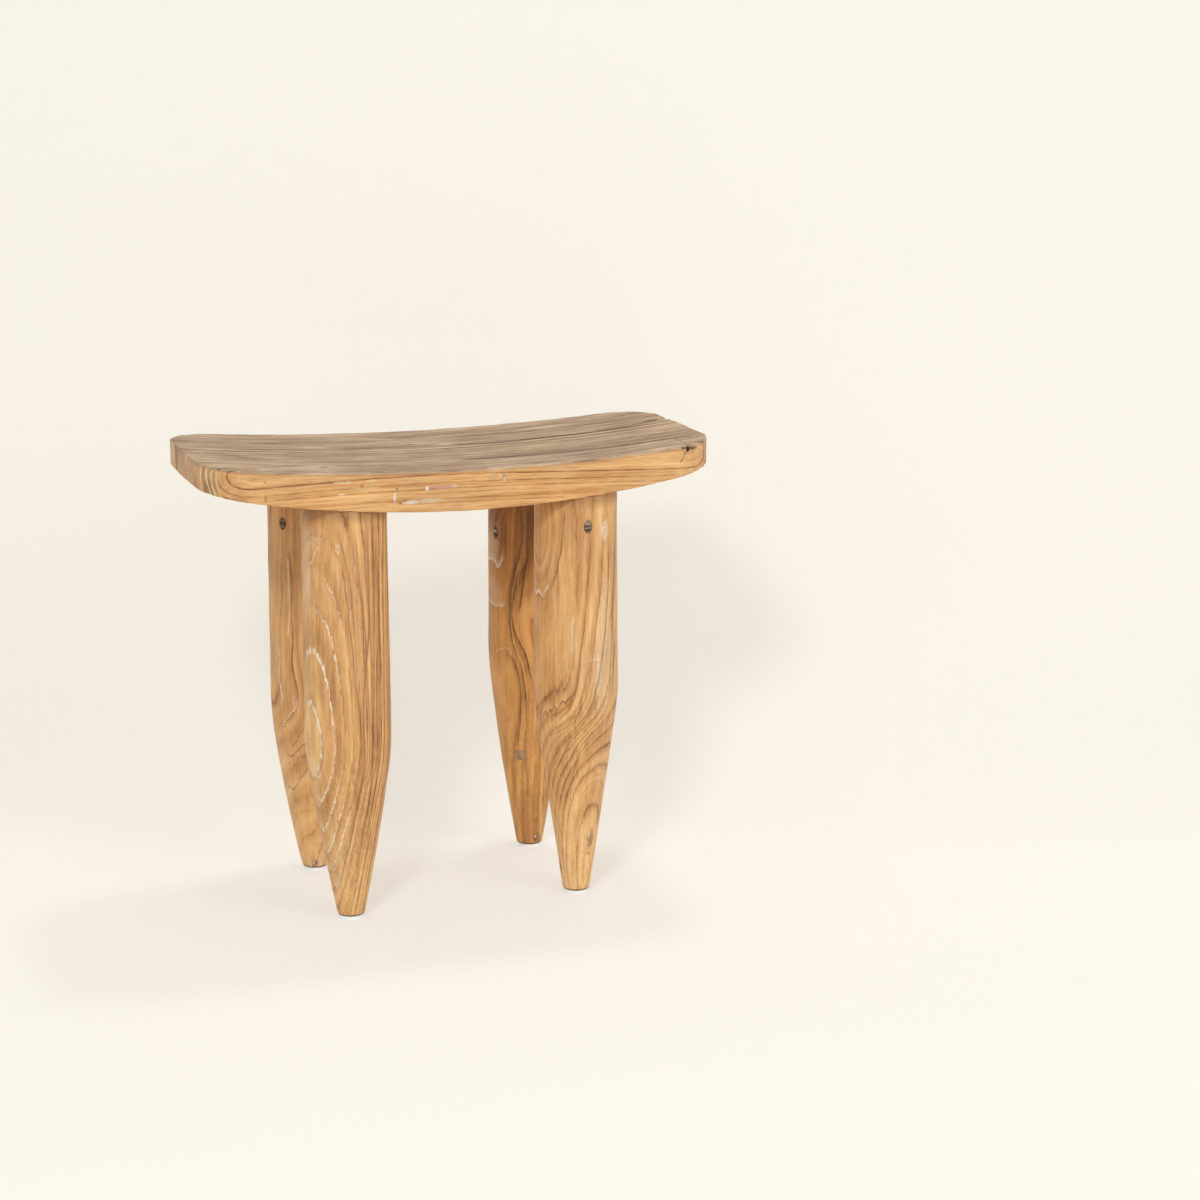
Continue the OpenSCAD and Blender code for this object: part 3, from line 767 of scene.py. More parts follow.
def darken_the_ends_for_grain_and_shade(timber):
    """End grain drinks more oil than the sides, so it is darker and greyer; the darkening on the end faces is
    also painted shade.
    """
    facing = timber.node("ShaderNodeNewGeometry", {}, out=1)
    end = timber.node("ShaderNodeSeparateXYZ", {}, facing, out=0).math("ABSOLUTE")
    bands = timber.noise(timber.stretch(timber.place, (60, 20, 60)), detail=2.0)
    end = timber.ramp(end, 0.6, 0.95)
    timber.colour = timber.mix(0.55 * end, timber.colour, paint(240, 218, 190), "MULTIPLY")
    timber.colour = timber.mix(0.4 * end, timber.colour, paint(192, 162, 130))
    pale = end * timber.ramp(bands, 0.02, 0.16) * 0.6
    timber.colour = timber.mix(pale, timber.colour, paint(226, 198, 160))
    dark = end * timber.ramp(bands, -0.04, -0.18) * 0.7
    timber.colour = timber.mix(dark, timber.colour, paint(122, 92, 66))


board_timber = {
    "front": Timber("front_board_wood", "X", (0, 0, 0), 11),
    "middle": Timber("middle_board_wood", "X", (0, 0, 0), 230),
    "rear": Timber("rear_board_wood", "X", (0, 0, 0), 470),
}
board_timber["front"].grow(
    (-128.75, 440.67, 0.01963, -0.00573, 0.000277, -0.0000676), waves=1.2, ripples=1.2, teeth=0.4
)
board_timber["front"].chosen_rings(FRONT_YEARS)
board_timber["middle"].grow((75, 392, 0, 0, 0, 0), teeth=0.6, waves=5.0)
board_timber["middle"].even_rings(0, 5.0)
board_timber["rear"].grow((-70, 400, 0.0, 0.02, 0, 0), teeth=0.6, waves=4.0)
board_timber["rear"].even_rings(0, 4.5)
for key, timber in board_timber.items():
    timber.colour_in(SEAT_ORANGE, SEAT_PALE, line_strength=0.8 if key == "front" else 0.55)
    grey_the_top(timber)
    darken_the_ends_for_grain_and_shade(timber)

# %% [markdown]
# Reclaimed wood carries a history of fillings, small knots and stains. Each is one mark: its
# place, its half sizes, its colour and how strongly it covers. Those on the top are long, because
# they follow the grain.

# %% Marks on the boards
STAIN, SOOT_AND_CRACK_SHADE, KNOT_BROWN = paint(120, 90, 64), paint(70, 48, 32), paint(150, 92, 48)
CHALK, CHALK_BLUE, PUTTY, PUTTY_ROSE = (
    paint(226, 212, 190), paint(214, 214, 216), paint(198, 178, 150), paint(184, 138, 116)
)
MARK_DEPTH = 6


def on_front(x, z, wide, high, *rest):
    """A mark on the front of the seat, from its place and its half sizes there."""
    return ((x, -SEAT_DEPTH / 2, z), (wide, MARK_DEPTH, high), *rest)


BOARD_MARKS = {
    "front": [
        # level streaks of stain along the middle of the front
        ((-126.6, -119, 426.3), (34, 9, 1.3), paint(196, 118, 70), 0.6),
        ((-58.3, -119, 424.2), (40, 9, 1.0), paint(190, 118, 68), 0.35),
        # small knots near the left corner
        on_front(-194.9, 433.4, 2.6, 2.8, KNOT_BROWN, 0.95),
        on_front(-194.4, 418.8, 2.2, 5.4, KNOT_BROWN, 0.85),
        on_front(-105.5, 425.3, 3.0, 2.8, paint(160, 92, 54), 0.6),
        on_front(-72.9, 420.8, 1.5, 1.4, SOOT_AND_CRACK_SHADE, 0.8),
        # thin smears of filler
        on_front(-124.6, 429.3, 13, 1.3, CHALK_BLUE, 0.55, 0.5),
        on_front(-97.5, 429.8, 9, 1.5, CHALK, 0.55, 0.5),
        on_front(-102.5, 423.1, 20, 1.0, paint(214, 192, 144), 0.6, 0.2),
        on_front(-125.5, 418.2, 6, 1.4, CHALK, 0.5, 0.3),
        # the filled split left of the middle
        on_front(-75.3, 413.2, 1.8, 6.0, CHALK_BLUE, 0.8, 0.3),
        on_front(-70.3, 407.1, 3.4, 1.5, paint(120, 92, 56), 0.7),
        on_front(-66.3, 409.1, 1.4, 2.4, paint(120, 92, 56), 0.5),
        on_front(-58.3, 407.7, 11, 2.3, CHALK_BLUE, 0.9, 0.4),
        on_front(-45.2, 407.9, 17, 2.6, PUTTY, 0.85, 0.2),
        # the reddish filling in the middle
        on_front(-44.5, 419.7, 1.9, 2.6, CHALK_BLUE, 0.95),
        on_front(-29.3, 419.8, 14, 2.4, PUTTY_ROSE, 0.85, 0.1),
        on_front(-18.7, 420.2, 5.0, 3.0, paint(214, 184, 166), 0.75, 0.3),
        # the filled notch right of the middle
        on_front(18.3, 426.7, 6.0, 4.0, paint(180, 150, 120), 0.6, 0.4),
        on_front(28.8, 426.2, 5.0, 4.0, paint(172, 142, 112), 0.8, 0.1),
        on_front(21.8, 433.3, 10, 2.8, paint(196, 164, 124), 0.75, 0.2),
        on_front(37.8, 434.3, 8, 3.4, paint(170, 144, 102), 0.7, 0.2),
        # round the star crack at the right end: brown wood, and a dark centre that is partly painted shade
        # inside the crack
        ((216, -106, 440), (10, 8, 7), paint(128, 82, 42), 0.6),
        ((217, -106, 440.4), (5.0, 6, 2.8), paint(52, 30, 16), 1.0),
        # on the top: a chalky streak with a dark middle, and stains
        ((-137, -86, 440), (38, 9, 9), paint(190, 184, 162), 0.55, 0.3),
        ((-133, -84, 440), (6.5, 3.6, 6), SOOT_AND_CRACK_SHADE, 0.65),
        ((-164, -76, 440), (13, 3.6, 6), STAIN, 0.4),
        ((-74, -77, 437), (5, 6, 5), STAIN, 0.4),
        ((98, -68, 437), (150, 4.5, 7), STAIN, 0.4),
        ((-202, -95, 444), (9, 7, 5), paint(150, 108, 66), 0.5),
    ],
    "middle": [
        ((3, -58, 437), (230, 5, 9), STAIN, 0.35),
        ((1, 17, 439), (236, 6.5, 11), STAIN, 0.5),
        ((122, 16, 438), (44, 3.2, 7), SOOT_AND_CRACK_SHADE, 0.5),
        ((-206, -19, 443), (16, 5, 6), SOOT_AND_CRACK_SHADE, 0.4),
        ((-18, -26, 441), (12, 9, 6), STAIN, 0.45),
        ((-141, -36, 439), (30, 6, 6), STAIN, 0.4),
        ((-235, -4, 446), (8, 3.5, 5), CHALK, 0.5, 0.2),
        ((-236, -11, 446), (6, 3, 5), SOOT_AND_CRACK_SHADE, 0.45),
        ((-18, -45, 435), (90, 12, 6), STAIN, 0.22),
    ],
    "rear": [
        ((-1, 75, 437), (22, 3.8, 6), STAIN, 0.5),
        ((-19, 73, 435), (12, 4.0, 6), STAIN, 0.5),
        ((-21, 33, 435), (5.5, 2.6, 6), SOOT_AND_CRACK_SHADE, 0.8),
        ((-166, 66, 440), (30, 2.6, 6), STAIN, 0.4),
        ((81, 68, 437), (22, 2.8, 6), STAIN, 0.45),
        ((14, 36, 435), (14, 2.6, 6), STAIN, 0.4),
        ((205, 5, 443), (22, 2.8, 6), SOOT_AND_CRACK_SHADE, 0.45),
        ((233, 36, 446), (18, 7, 7), SOOT_AND_CRACK_SHADE, 0.55),
        ((9, 24, 435), (14, 5, 6), CHALK, 0.35, 0.2),
        ((-216, 54, 444), (6, 3, 5), STAIN, 0.4),
    ],
}
for key, marks in BOARD_MARKS.items():
    for mark in marks:
        board_timber[key].mark(*mark)
    print(key, "board marks:", len(marks), "nodes:", len(board_timber[key].tree.nodes))

# %% Lines on the boards
SEAM_DARK, CREAM, BARK = paint(84, 58, 38), paint(238, 214, 176), paint(150, 108, 66)
BOARD_LINES = {
    # board: what the line runs along and its offset, points, half width, colour, amount, teeth, soft side
    "front": [
        ("xy", [(-7, -67.5), (60, -68), (148, -69), (216, -67.5), (248, -67.2)],
            3.4, SEAM_DARK, 1.0, 0.3, 8.0),
        ("xy", [(-182, -70.3), (-157, -68.7), (-141, -73.7), (-116, -76.9)], 1.8, CHALK, 0.7, 0.6),
        # two short pale scratches
        ("zx", [(424.6, 26.9), (429.6, 25.2)], 1.0, paint(232, 214, 190), 0.7, 0.6, 2.0),
        ("zx", [(421.4, 29.4), (425.8, 30.2)], 1.2, paint(228, 208, 184), 0.65, 0.6, 2.0),
        # the dark rays of the star crack, partly painted shade inside its cracks, and its arcs
        ("xz", [(205.4, 428.1), (211.3, 436.7), (215.3, 442.2)], 1.3, SOOT_AND_CRACK_SHADE, 1.0, 0.2),
        ("xz", [(206.4, 442.4), (214.3, 441.8), (226.3, 440.8)], 1.3, SOOT_AND_CRACK_SHADE, 1.0, 0.2),
        ("zx", [(437.2, 213.8), (446.2, 217.8)], 0.7, SOOT_AND_CRACK_SHADE, 0.8, 0.2),
        ("zx", [(417.1, 220.3), (425.1, 232.2), (432.1, 237.2), (439.2, 234.2)],
            0.9, KNOT_BROWN, 0.85, 0.2, 3.0),
        ("zx", [(414.1, 227.2), (422.1, 239.2), (431.1, 244.2), (441.2, 244.7)],
            0.9, KNOT_BROWN, 0.9, 0.2, 3.0),
        ("zx", [(409.1, 248.5), (425.1, 249.5), (437.1, 249.7), (449.2, 249.8)],
            1.4, paint(132, 100, 66), 0.9, 0.2),
        # pale and dark growth lines that stand upright round the left corner
        ("zx", [(415.2, -245.8), (425.3, -245.8), (437.5, -246.3), (446.5, -245.4)], 0.35, CREAM, 0.9, 0.1),
        ("zx", [(414.2, -238.5), (425.3, -240.6), (437.5, -242.7), (446.5, -241.8)], 0.5, CREAM, 0.9, 0.15),
        ("zx", [(412.2, -235.3), (425.3, -237.6), (437.5, -239.3), (445.5, -237.9)], 0.5, CREAM, 0.8, 0.15),
        ("zx", [(411.2, -230.6), (425.3, -233.6), (437.4, -235.4), (444.5, -234.5)], 0.6, CREAM, 0.6, 0.15),
        ("zx", [(413.2, -242.5), (425.3, -243.6), (437.5, -244.7), (446.5, -243.8)],
            0.5, BARK, 0.8, 0.15, 0.8),
        ("zx", [(412.2, -236.9), (425.3, -239.2), (437.5, -241.1), (445.5, -239.9)],
            0.4, BARK, 0.7, 0.15, 0.6),
        ("zx", [(411.2, -232.5), (425.3, -235.4), (437.5, -237.5), (445.5, -236.3)],
            0.5, BARK, 0.6, 0.15, 0.8),
    ],
    "middle": [
        ("xy", [(-7, -65.5), (60, -65), (148, -64), (216, -65.5), (248, -65.8)], 2.4, SEAM_DARK, 1.0, 0.3),
        ("xy", [(15, 18), (61, 12.3), (87, 14.4), (115, 16), (175, 19)], 2.6, SOOT_AND_CRACK_SHADE, 1.1, 0.4, 6.0),
        ("xy", [(15, 17.6), (19, 19.4), (22, 20.3), (248, 20.8)], 2.6, SEAM_DARK, 1.0, 0.3, 5.0),
        ("xy", [(-59, 11.3), (-19, 11.9), (21, 13.5), (61, 13.2)], 1.5, STAIN, 0.7, 0.4, 5.0),
        ("xy", [(151, -12), (176, -10.3), (201, -10.2)], 2.4, STAIN, 0.7, 0.5),
        ("xy", [(223, -47.1), (239, -46.2), (251, -44.8)], 2.2, STAIN, 0.7, 0.5),
        ("xy", [(-9, -2.5), (62, 2.1), (121, -6.5)], 2.0, STAIN, 0.55, 0.5, 8.0),
        ("xy", [(-233, 20.1), (-208, 22.3), (-187, 21.1)], 2.2, STAIN, 0.8, 0.5),
        ("xy", [(-223, -7.9), (-209, -18.1), (-192, -32.4)], 2.0, SEAM_DARK, 0.85, 0.5),
        ("xy", [(-194, 0.3), (-151, -14.9), (-108, -39.7), (-54, -56.5)], 2.4, STAIN, 0.6, 0.5, 10.0),
    ],
    "rear": [
        ("xy", [(165, 24.3), (189, 23.7), (205, 27.1), (224, 30.9), (248, 34.8)], 3.0, SOOT_AND_CRACK_SHADE, 1.0, 0.4, 6.0),
        ("xy", [(-33, 31.1), (-15, 33.8)], 1.6, SOOT_AND_CRACK_SHADE, 0.8, 0.3),
        ("xy", [(-32, 79.4), (-5, 73.6), (-2, 76.5)], 1.4, SEAM_DARK, 0.8, 0.3),
        ("xy", [(85, 60.8), (128, 67.4), (187, 63.5)], 2.2, STAIN, 0.6, 0.5, 6.0),
        ("xy", [(23, 56.8), (152, 90.2), (202, 77.9)], 2.4, STAIN, 0.6, 0.5, 6.0),
        ("xy", [(-91, 28.7), (-56, 25.5), (-13, 31)], 2.4, STAIN, 0.6, 0.5, 6.0),
        ("xy", [(206, 27.1), (226, 43.4), (245, 31.9)], 1.4, SEAM_DARK, 0.6, 0.3),
    ],
}
for key, lines in BOARD_LINES.items():
    timber = board_timber[key]
    fields = {"x": timber.x, "y": timber.y, "z": timber.z}
    for (run, off), *shape in lines:
        timber.stroke(fields[run], fields[off], *shape)
    print(key, "board lines:", len(lines), "nodes:", len(timber.tree.nodes))

# %% [markdown]
# ## The legs
#
# Each leg was turned and then worked by hand: nearly straight under the seat, then a bend, then a
# taper that swells a little on its way to a small foot. Every leg bends at its own height.
# The lathe tool turns the profile, and the belly cylinder copes the top to fit the seat.

# %% Turn the legs
LEG_X, LEG_Y = 113.3, 76.0
LEG_TOP_RADIUS, LEG_KINK_RADIUS, FOOT_RADIUS, FOOT_EDGE = 39.7, 41.0, 13.0, 1.2
GLIDE_THICKNESS, KINK_BLEND = 4.0, 22.0
LEGS = {
    "front_left": {"x": -LEG_X, "y": -LEG_Y, "bend": 168.0, "swell": 1.2, "pocket": (32.0, 0.0)},
    "front_right": {"x": LEG_X, "y": -LEG_Y, "bend": 198.0, "swell": 0.2, "pocket": (28.5, -91.0)},
    "rear_left": {"x": -LEG_X, "y": LEG_Y, "bend": 168.0, "swell": 2.4, "pocket": (39.5, -141.0)},
    "rear_right": {"x": LEG_X, "y": LEG_Y, "bend": 204.0, "swell": 2.2, "pocket": (66.0, -162.0)},
}


def leg_radius(leg, z):
    """Radius of a leg at a height: a slow cone above the bend, a swelling taper below it."""
    bend, swell = leg["bend"], leg["swell"]

    def shaft(height):
        share = (height - bend) / (SEAT_HEIGHT - SEAT_THICKNESS - bend)
        return LEG_KINK_RADIUS + (LEG_TOP_RADIUS - LEG_KINK_RADIUS) * share

    def taper(height):
        share = (height - GLIDE_THICKNESS) / (bend - GLIDE_THICKNESS)
        return FOOT_RADIUS + (LEG_KINK_RADIUS - FOOT_RADIUS) * share + 4 * swell * share * (1 - share)

    if z > bend + KINK_BLEND:
        return shaft(z)
    if z < bend - KINK_BLEND:
        return taper(z)
    share = (z - bend + KINK_BLEND) / (2 * KINK_BLEND)
    low, high = taper(bend - KINK_BLEND), shaft(bend + KINK_BLEND)
    return (1 - share) ** 2 * low + 2 * share * (1 - share) * LEG_KINK_RADIUS + share**2 * high


def leg_profile(leg):
    """(radius, height) pairs from the foot to above the seat's underside."""
    slope = math.atan((LEG_KINK_RADIUS - FOOT_RADIUS) / (leg["bend"] - GLIDE_THICKNESS))
    edge = []
    for step in range(7):
        angle = -math.pi / 2 + (math.pi / 2 - slope) * step / 6
        edge.append((
            FOOT_RADIUS - FOOT_EDGE + FOOT_EDGE * math.cos(angle),
            GLIDE_THICKNESS + FOOT_EDGE + FOOT_EDGE * math.sin(angle),
        ))
    heights = [5.5 + 3.5 * step for step in range(120)]
    return edge + [(leg_radius(leg, z), z) for z in heights]


legs = {}
for key, leg in LEGS.items():
    piece = turn(key + "_leg", leg_profile(leg), 112, shift(leg["x"], leg["y"]))
    weather(piece, 0.7, 40)
    carve(piece, cross_cylinder(BELLY_RADIUS + GLUE_LINE, SEAT_HEIGHT - SEAT_THICKNESS - GLUE_LINE))
    shade(piece)
    legs[key] = piece
    print(key, "leg faces:", len(piece.data.polygons))

# %% [markdown]
# ## The wood of the legs
#
# Each leg came from its own log. The numbers of a heart were found by laying the rings of the
# recipe over the figure of the real leg, until the closed eyes of the front left leg, the steep
# sweep and the knot of the front right one, and the arches of the rear ones fell in place.

# %% Wood of the legs
LEG_MIDDLE = 200.0  # the height from which the numbers of a leg's heart are counted
REDDISH = (paint(236, 188, 116), paint(214, 158, 90), paint(156, 102, 44), paint(84, 48, 14))
REDDISH_ROSY = (paint(228, 182, 114), paint(204, 150, 86), paint(148, 96, 42), paint(82, 48, 14))
LEG_RINGS = {
    # heart; first ring and spacing; knots; offset of the noise; tones
    "front_left": (
        (40.06, 11.7, -0.0643, 0.0401, -0.000303, -0.00009), 81.45, 4.23, [], 20, (GOLDEN, ROSY),
    ),
    "front_right": (
        (18.89, -0.18, 0.037, 0.0636, -0.00026, -0.000104), 54.6, 5.32, [
            ((-2.99, -14.95, -33.34), (24.73, 24.73, 129.61), -44.32),
            ((-39.01, -8.71, 165.95), (20.11, 20.11, 53.43), -23.44),
            ((-28.63, -66.33, 1.39), (31.07, 31.07, 129.44), 31.43),
        ], 120, (GOLDEN, ROSY),
    ),
    "rear_left": (
        (71.81, -4.62, 0.0675, -0.1504, -0.00016, -0.000117), 110.2, 5.45, [
            ((-23.36, -15.18, -150.48), (23.14, 23.14, 98.98), -13.19),
            ((-20.4, -35.88, -22.15), (23.34, 23.34, 42.98), 6.7),
        ], 220, (GOLDEN, ROSY),
    ),
    "rear_right": (
        (65.2, -8.38, -0.2111, -0.2816, -0.000414, -0.001885), 112.44, 5.47, [
            ((-15.85, -32.71, 49.19), (13.39, 13.39, 78.38), -17.81),
            ((-24.01, -47.91, -16.87), (20.89, 20.89, 71.05), 31.08),
            ((-5.25, -38.65, 106.8), (44.55, 44.55, 75.36), 54.88),
        ], 320, (REDDISH, REDDISH_ROSY),
    ),
}
LEG_FAVOUR = {
    # leg: azimuth and height, half sizes round and up, factor on the rings' strength
    "front_left": [(-65, 240, 30, 230, 1.2), (-150, 330, 22, 70, 0.55)],
    "front_right": [
        (-172, 350, 34, 76, 0.1), (-140, 365, 20, 60, 0.15), (-122, 270, 17, 70, 0.3),
        (-72, 250, 24, 150, 0.9), (-75, 120, 34, 110, 0.9), (-80, 320, 34, 90, 0.6),
    ],
    "rear_left": [(-150, 290, 34, 130, 0.45), (-140, 90, 44, 80, 0.35)],
    "rear_right": [(-108, 230, 24, 110, 1.2), (-165, 280, 26, 110, 0.2), (-115, 370, 30, 60, 0.35)],
}
LEG_LOOK = {
    # leg: painted shade that darkens its top under the seat, how much darker its foot is (below zero it is
    # painted light from the floor), strength of its lines, contrast
    "front_left": (0.03, -0.12, 0.56, 0.85),
    "front_right": (0.07, -0.24, 0.6, 0.8),
    "rear_left": (0.06, -0.16, 0.5, 0.7),
    "rear_right": (0.42, 0.04, 0.42, 0.7),
}


def on_leg(key, azimuth, height):
    """A place on a leg's surface, from the middle of its wood."""
    radius = leg_radius(LEGS[key], height)
    turn_angle = math.radians(azimuth)
    return (radius * math.cos(turn_angle), radius * math.sin(turn_angle), height - LEG_MIDDLE)


leg_timber = {}
for key, (heart, first, spacing, knots, seed, tones) in LEG_RINGS.items():
    timber = Timber(key + "_wood", "Z", (LEGS[key]["x"], LEGS[key]["y"], LEG_MIDDLE), seed)
    timber.grow(heart, knots, waves=1.0, ripples=0.8, teeth=1.6)
    timber.even_rings(first, spacing)
    for azimuth, height, around, up, factor in LEG_FAVOUR[key]:
        timber.favour(on_leg(key, azimuth, height), (around, around, up), factor)
    top, foot, line_strength, contrast = LEG_LOOK[key]
    # Painted shading: each leg's top is painted darker for the shade under the seat, and its foot is painted
    # lighter, for the light from the floor, where its number is below zero.
    painted_shading_and_grime = top * timber.ramp(timber.length, 60, 195) + foot * timber.ramp(timber.length, -60, -175)
    timber.colour_in(*tones, line_strength, contrast, painted_shading_and_grime)
    leg_timber[key] = timber

# %% Marks on the legs
PALE_EDGE_TONE, FILLER_GREY = paint(206, 184, 156), paint(150, 128, 104)
LEG_MARKS = {
    # leg: azimuth and height on the leg, half width and half height, colour, amount, grit
    "front_left": [
        (-167, 346, 9, 60, PALE_EDGE_TONE, 0.4),
        (-1, 372, 5.5, 9, CHALK, 0.8, 0.9),
        (-111, 367, 3.0, 5, CHALK, 0.7, 0.9),
        (-149, 373, 12, 12, CHALK, 0.4, 0.9),
    ],
    "front_right": [
        (-112, 266, 2.6, 28, paint(232, 202, 162), 0.6),
        # painted highlight: a pale strip down the right edge of the leg, where the light catches its side
        (-18, 272, 9, 135, PALE_EDGE_TONE, 0.6),
        (-65, 367, 5.0, 12, CHALK, 0.95, 0.6),
        (-5, 39, 4.5, 8, CHALK, 0.8, 0.7),
        (-82, 243, 9, 1.6, CHALK, 0.5, 0.4),
        (-66, 251, 15, 85, paint(226, 198, 160), 0.4),
        (-77, 226, 3, 30, paint(230, 208, 176), 0.4, 0.2),
        (-179, 26, 4.5, 13, KNOT_BROWN, 0.5),
        (-179, 26, 2.0, 6, SOOT_AND_CRACK_SHADE, 0.4),
        (-65, 59, 4.4, 14, paint(158, 104, 58), 0.6),
        (-65, 58, 2.9, 10, FILLER_GREY, 0.9, 0.2),
        (-76, 59, 1.2, 4, SOOT_AND_CRACK_SHADE, 0.55),
        (-69, 43, 2.6, 1.6, SOOT_AND_CRACK_SHADE, 0.5),
    ],
    "rear_left": [
        (-152, 236, 4, 10, CHALK, 0.4, 0.9),
        (-127, 182, 3, 9, CHALK, 0.5, 0.8),
        (-106, 9.6, 5.2, 5.0, paint(104, 76, 50), 0.6, 0.4),
        (-109, 9.0, 3.2, 4.4, SOOT_AND_CRACK_SHADE, 0.8, 0.4),
        (-109, 9.4, 1.2, 3.6, CHALK_BLUE, 0.85, 0.1),
    ],
    "rear_right": [
        (-172, 322, 15, 20, paint(206, 172, 138), 0.85, 0.1),
        (-168, 276, 15, 16, paint(218, 178, 134), 0.75, 0.1),
        (-14, 36, 2.6, 8, SOOT_AND_CRACK_SHADE, 0.85),
        (-112, 34, 12, 60, paint(150, 96, 50), 0.4),
        (-80, 12.6, 4.0, 5.4, SOOT_AND_CRACK_SHADE, 0.75, 0.4),
        (-82, 13.0, 1.3, 2.2, CHALK_BLUE, 0.9),
    ],
}
LEG_LIME = {
    # leg: azimuth and height, half sizes round and up, amount
    "front_left": [(-142, 239, 30, 165, 1.0), (-129, 96, 24, 75, 1.0), (-97, 301, 20, 90, 0.3)],
    "front_right": [(-17, 307, 22, 14, 1.0), (-75, 251, 22, 90, 0.45), (-72, 141, 22, 40, 0.12)],
    "rear_left": [(-137, 18, 24, 40, 0.6)],
    "rear_right": [(-16, 28, 24, 40, 0.7)],
}

for key, timber in leg_timber.items():
    for azimuth, height, around, up, amount in LEG_LIME[key]:
        timber.lime(on_leg(key, azimuth, height), (around, around, up), amount)
    for azimuth, height, wide, up, *rest in LEG_MARKS[key]:
        timber.mark(on_leg(key, azimuth, height), (wide, wide, up), *rest)
    print(key, "leg marks:", len(LEG_MARKS[key]), "nodes:", len(timber.tree.nodes))

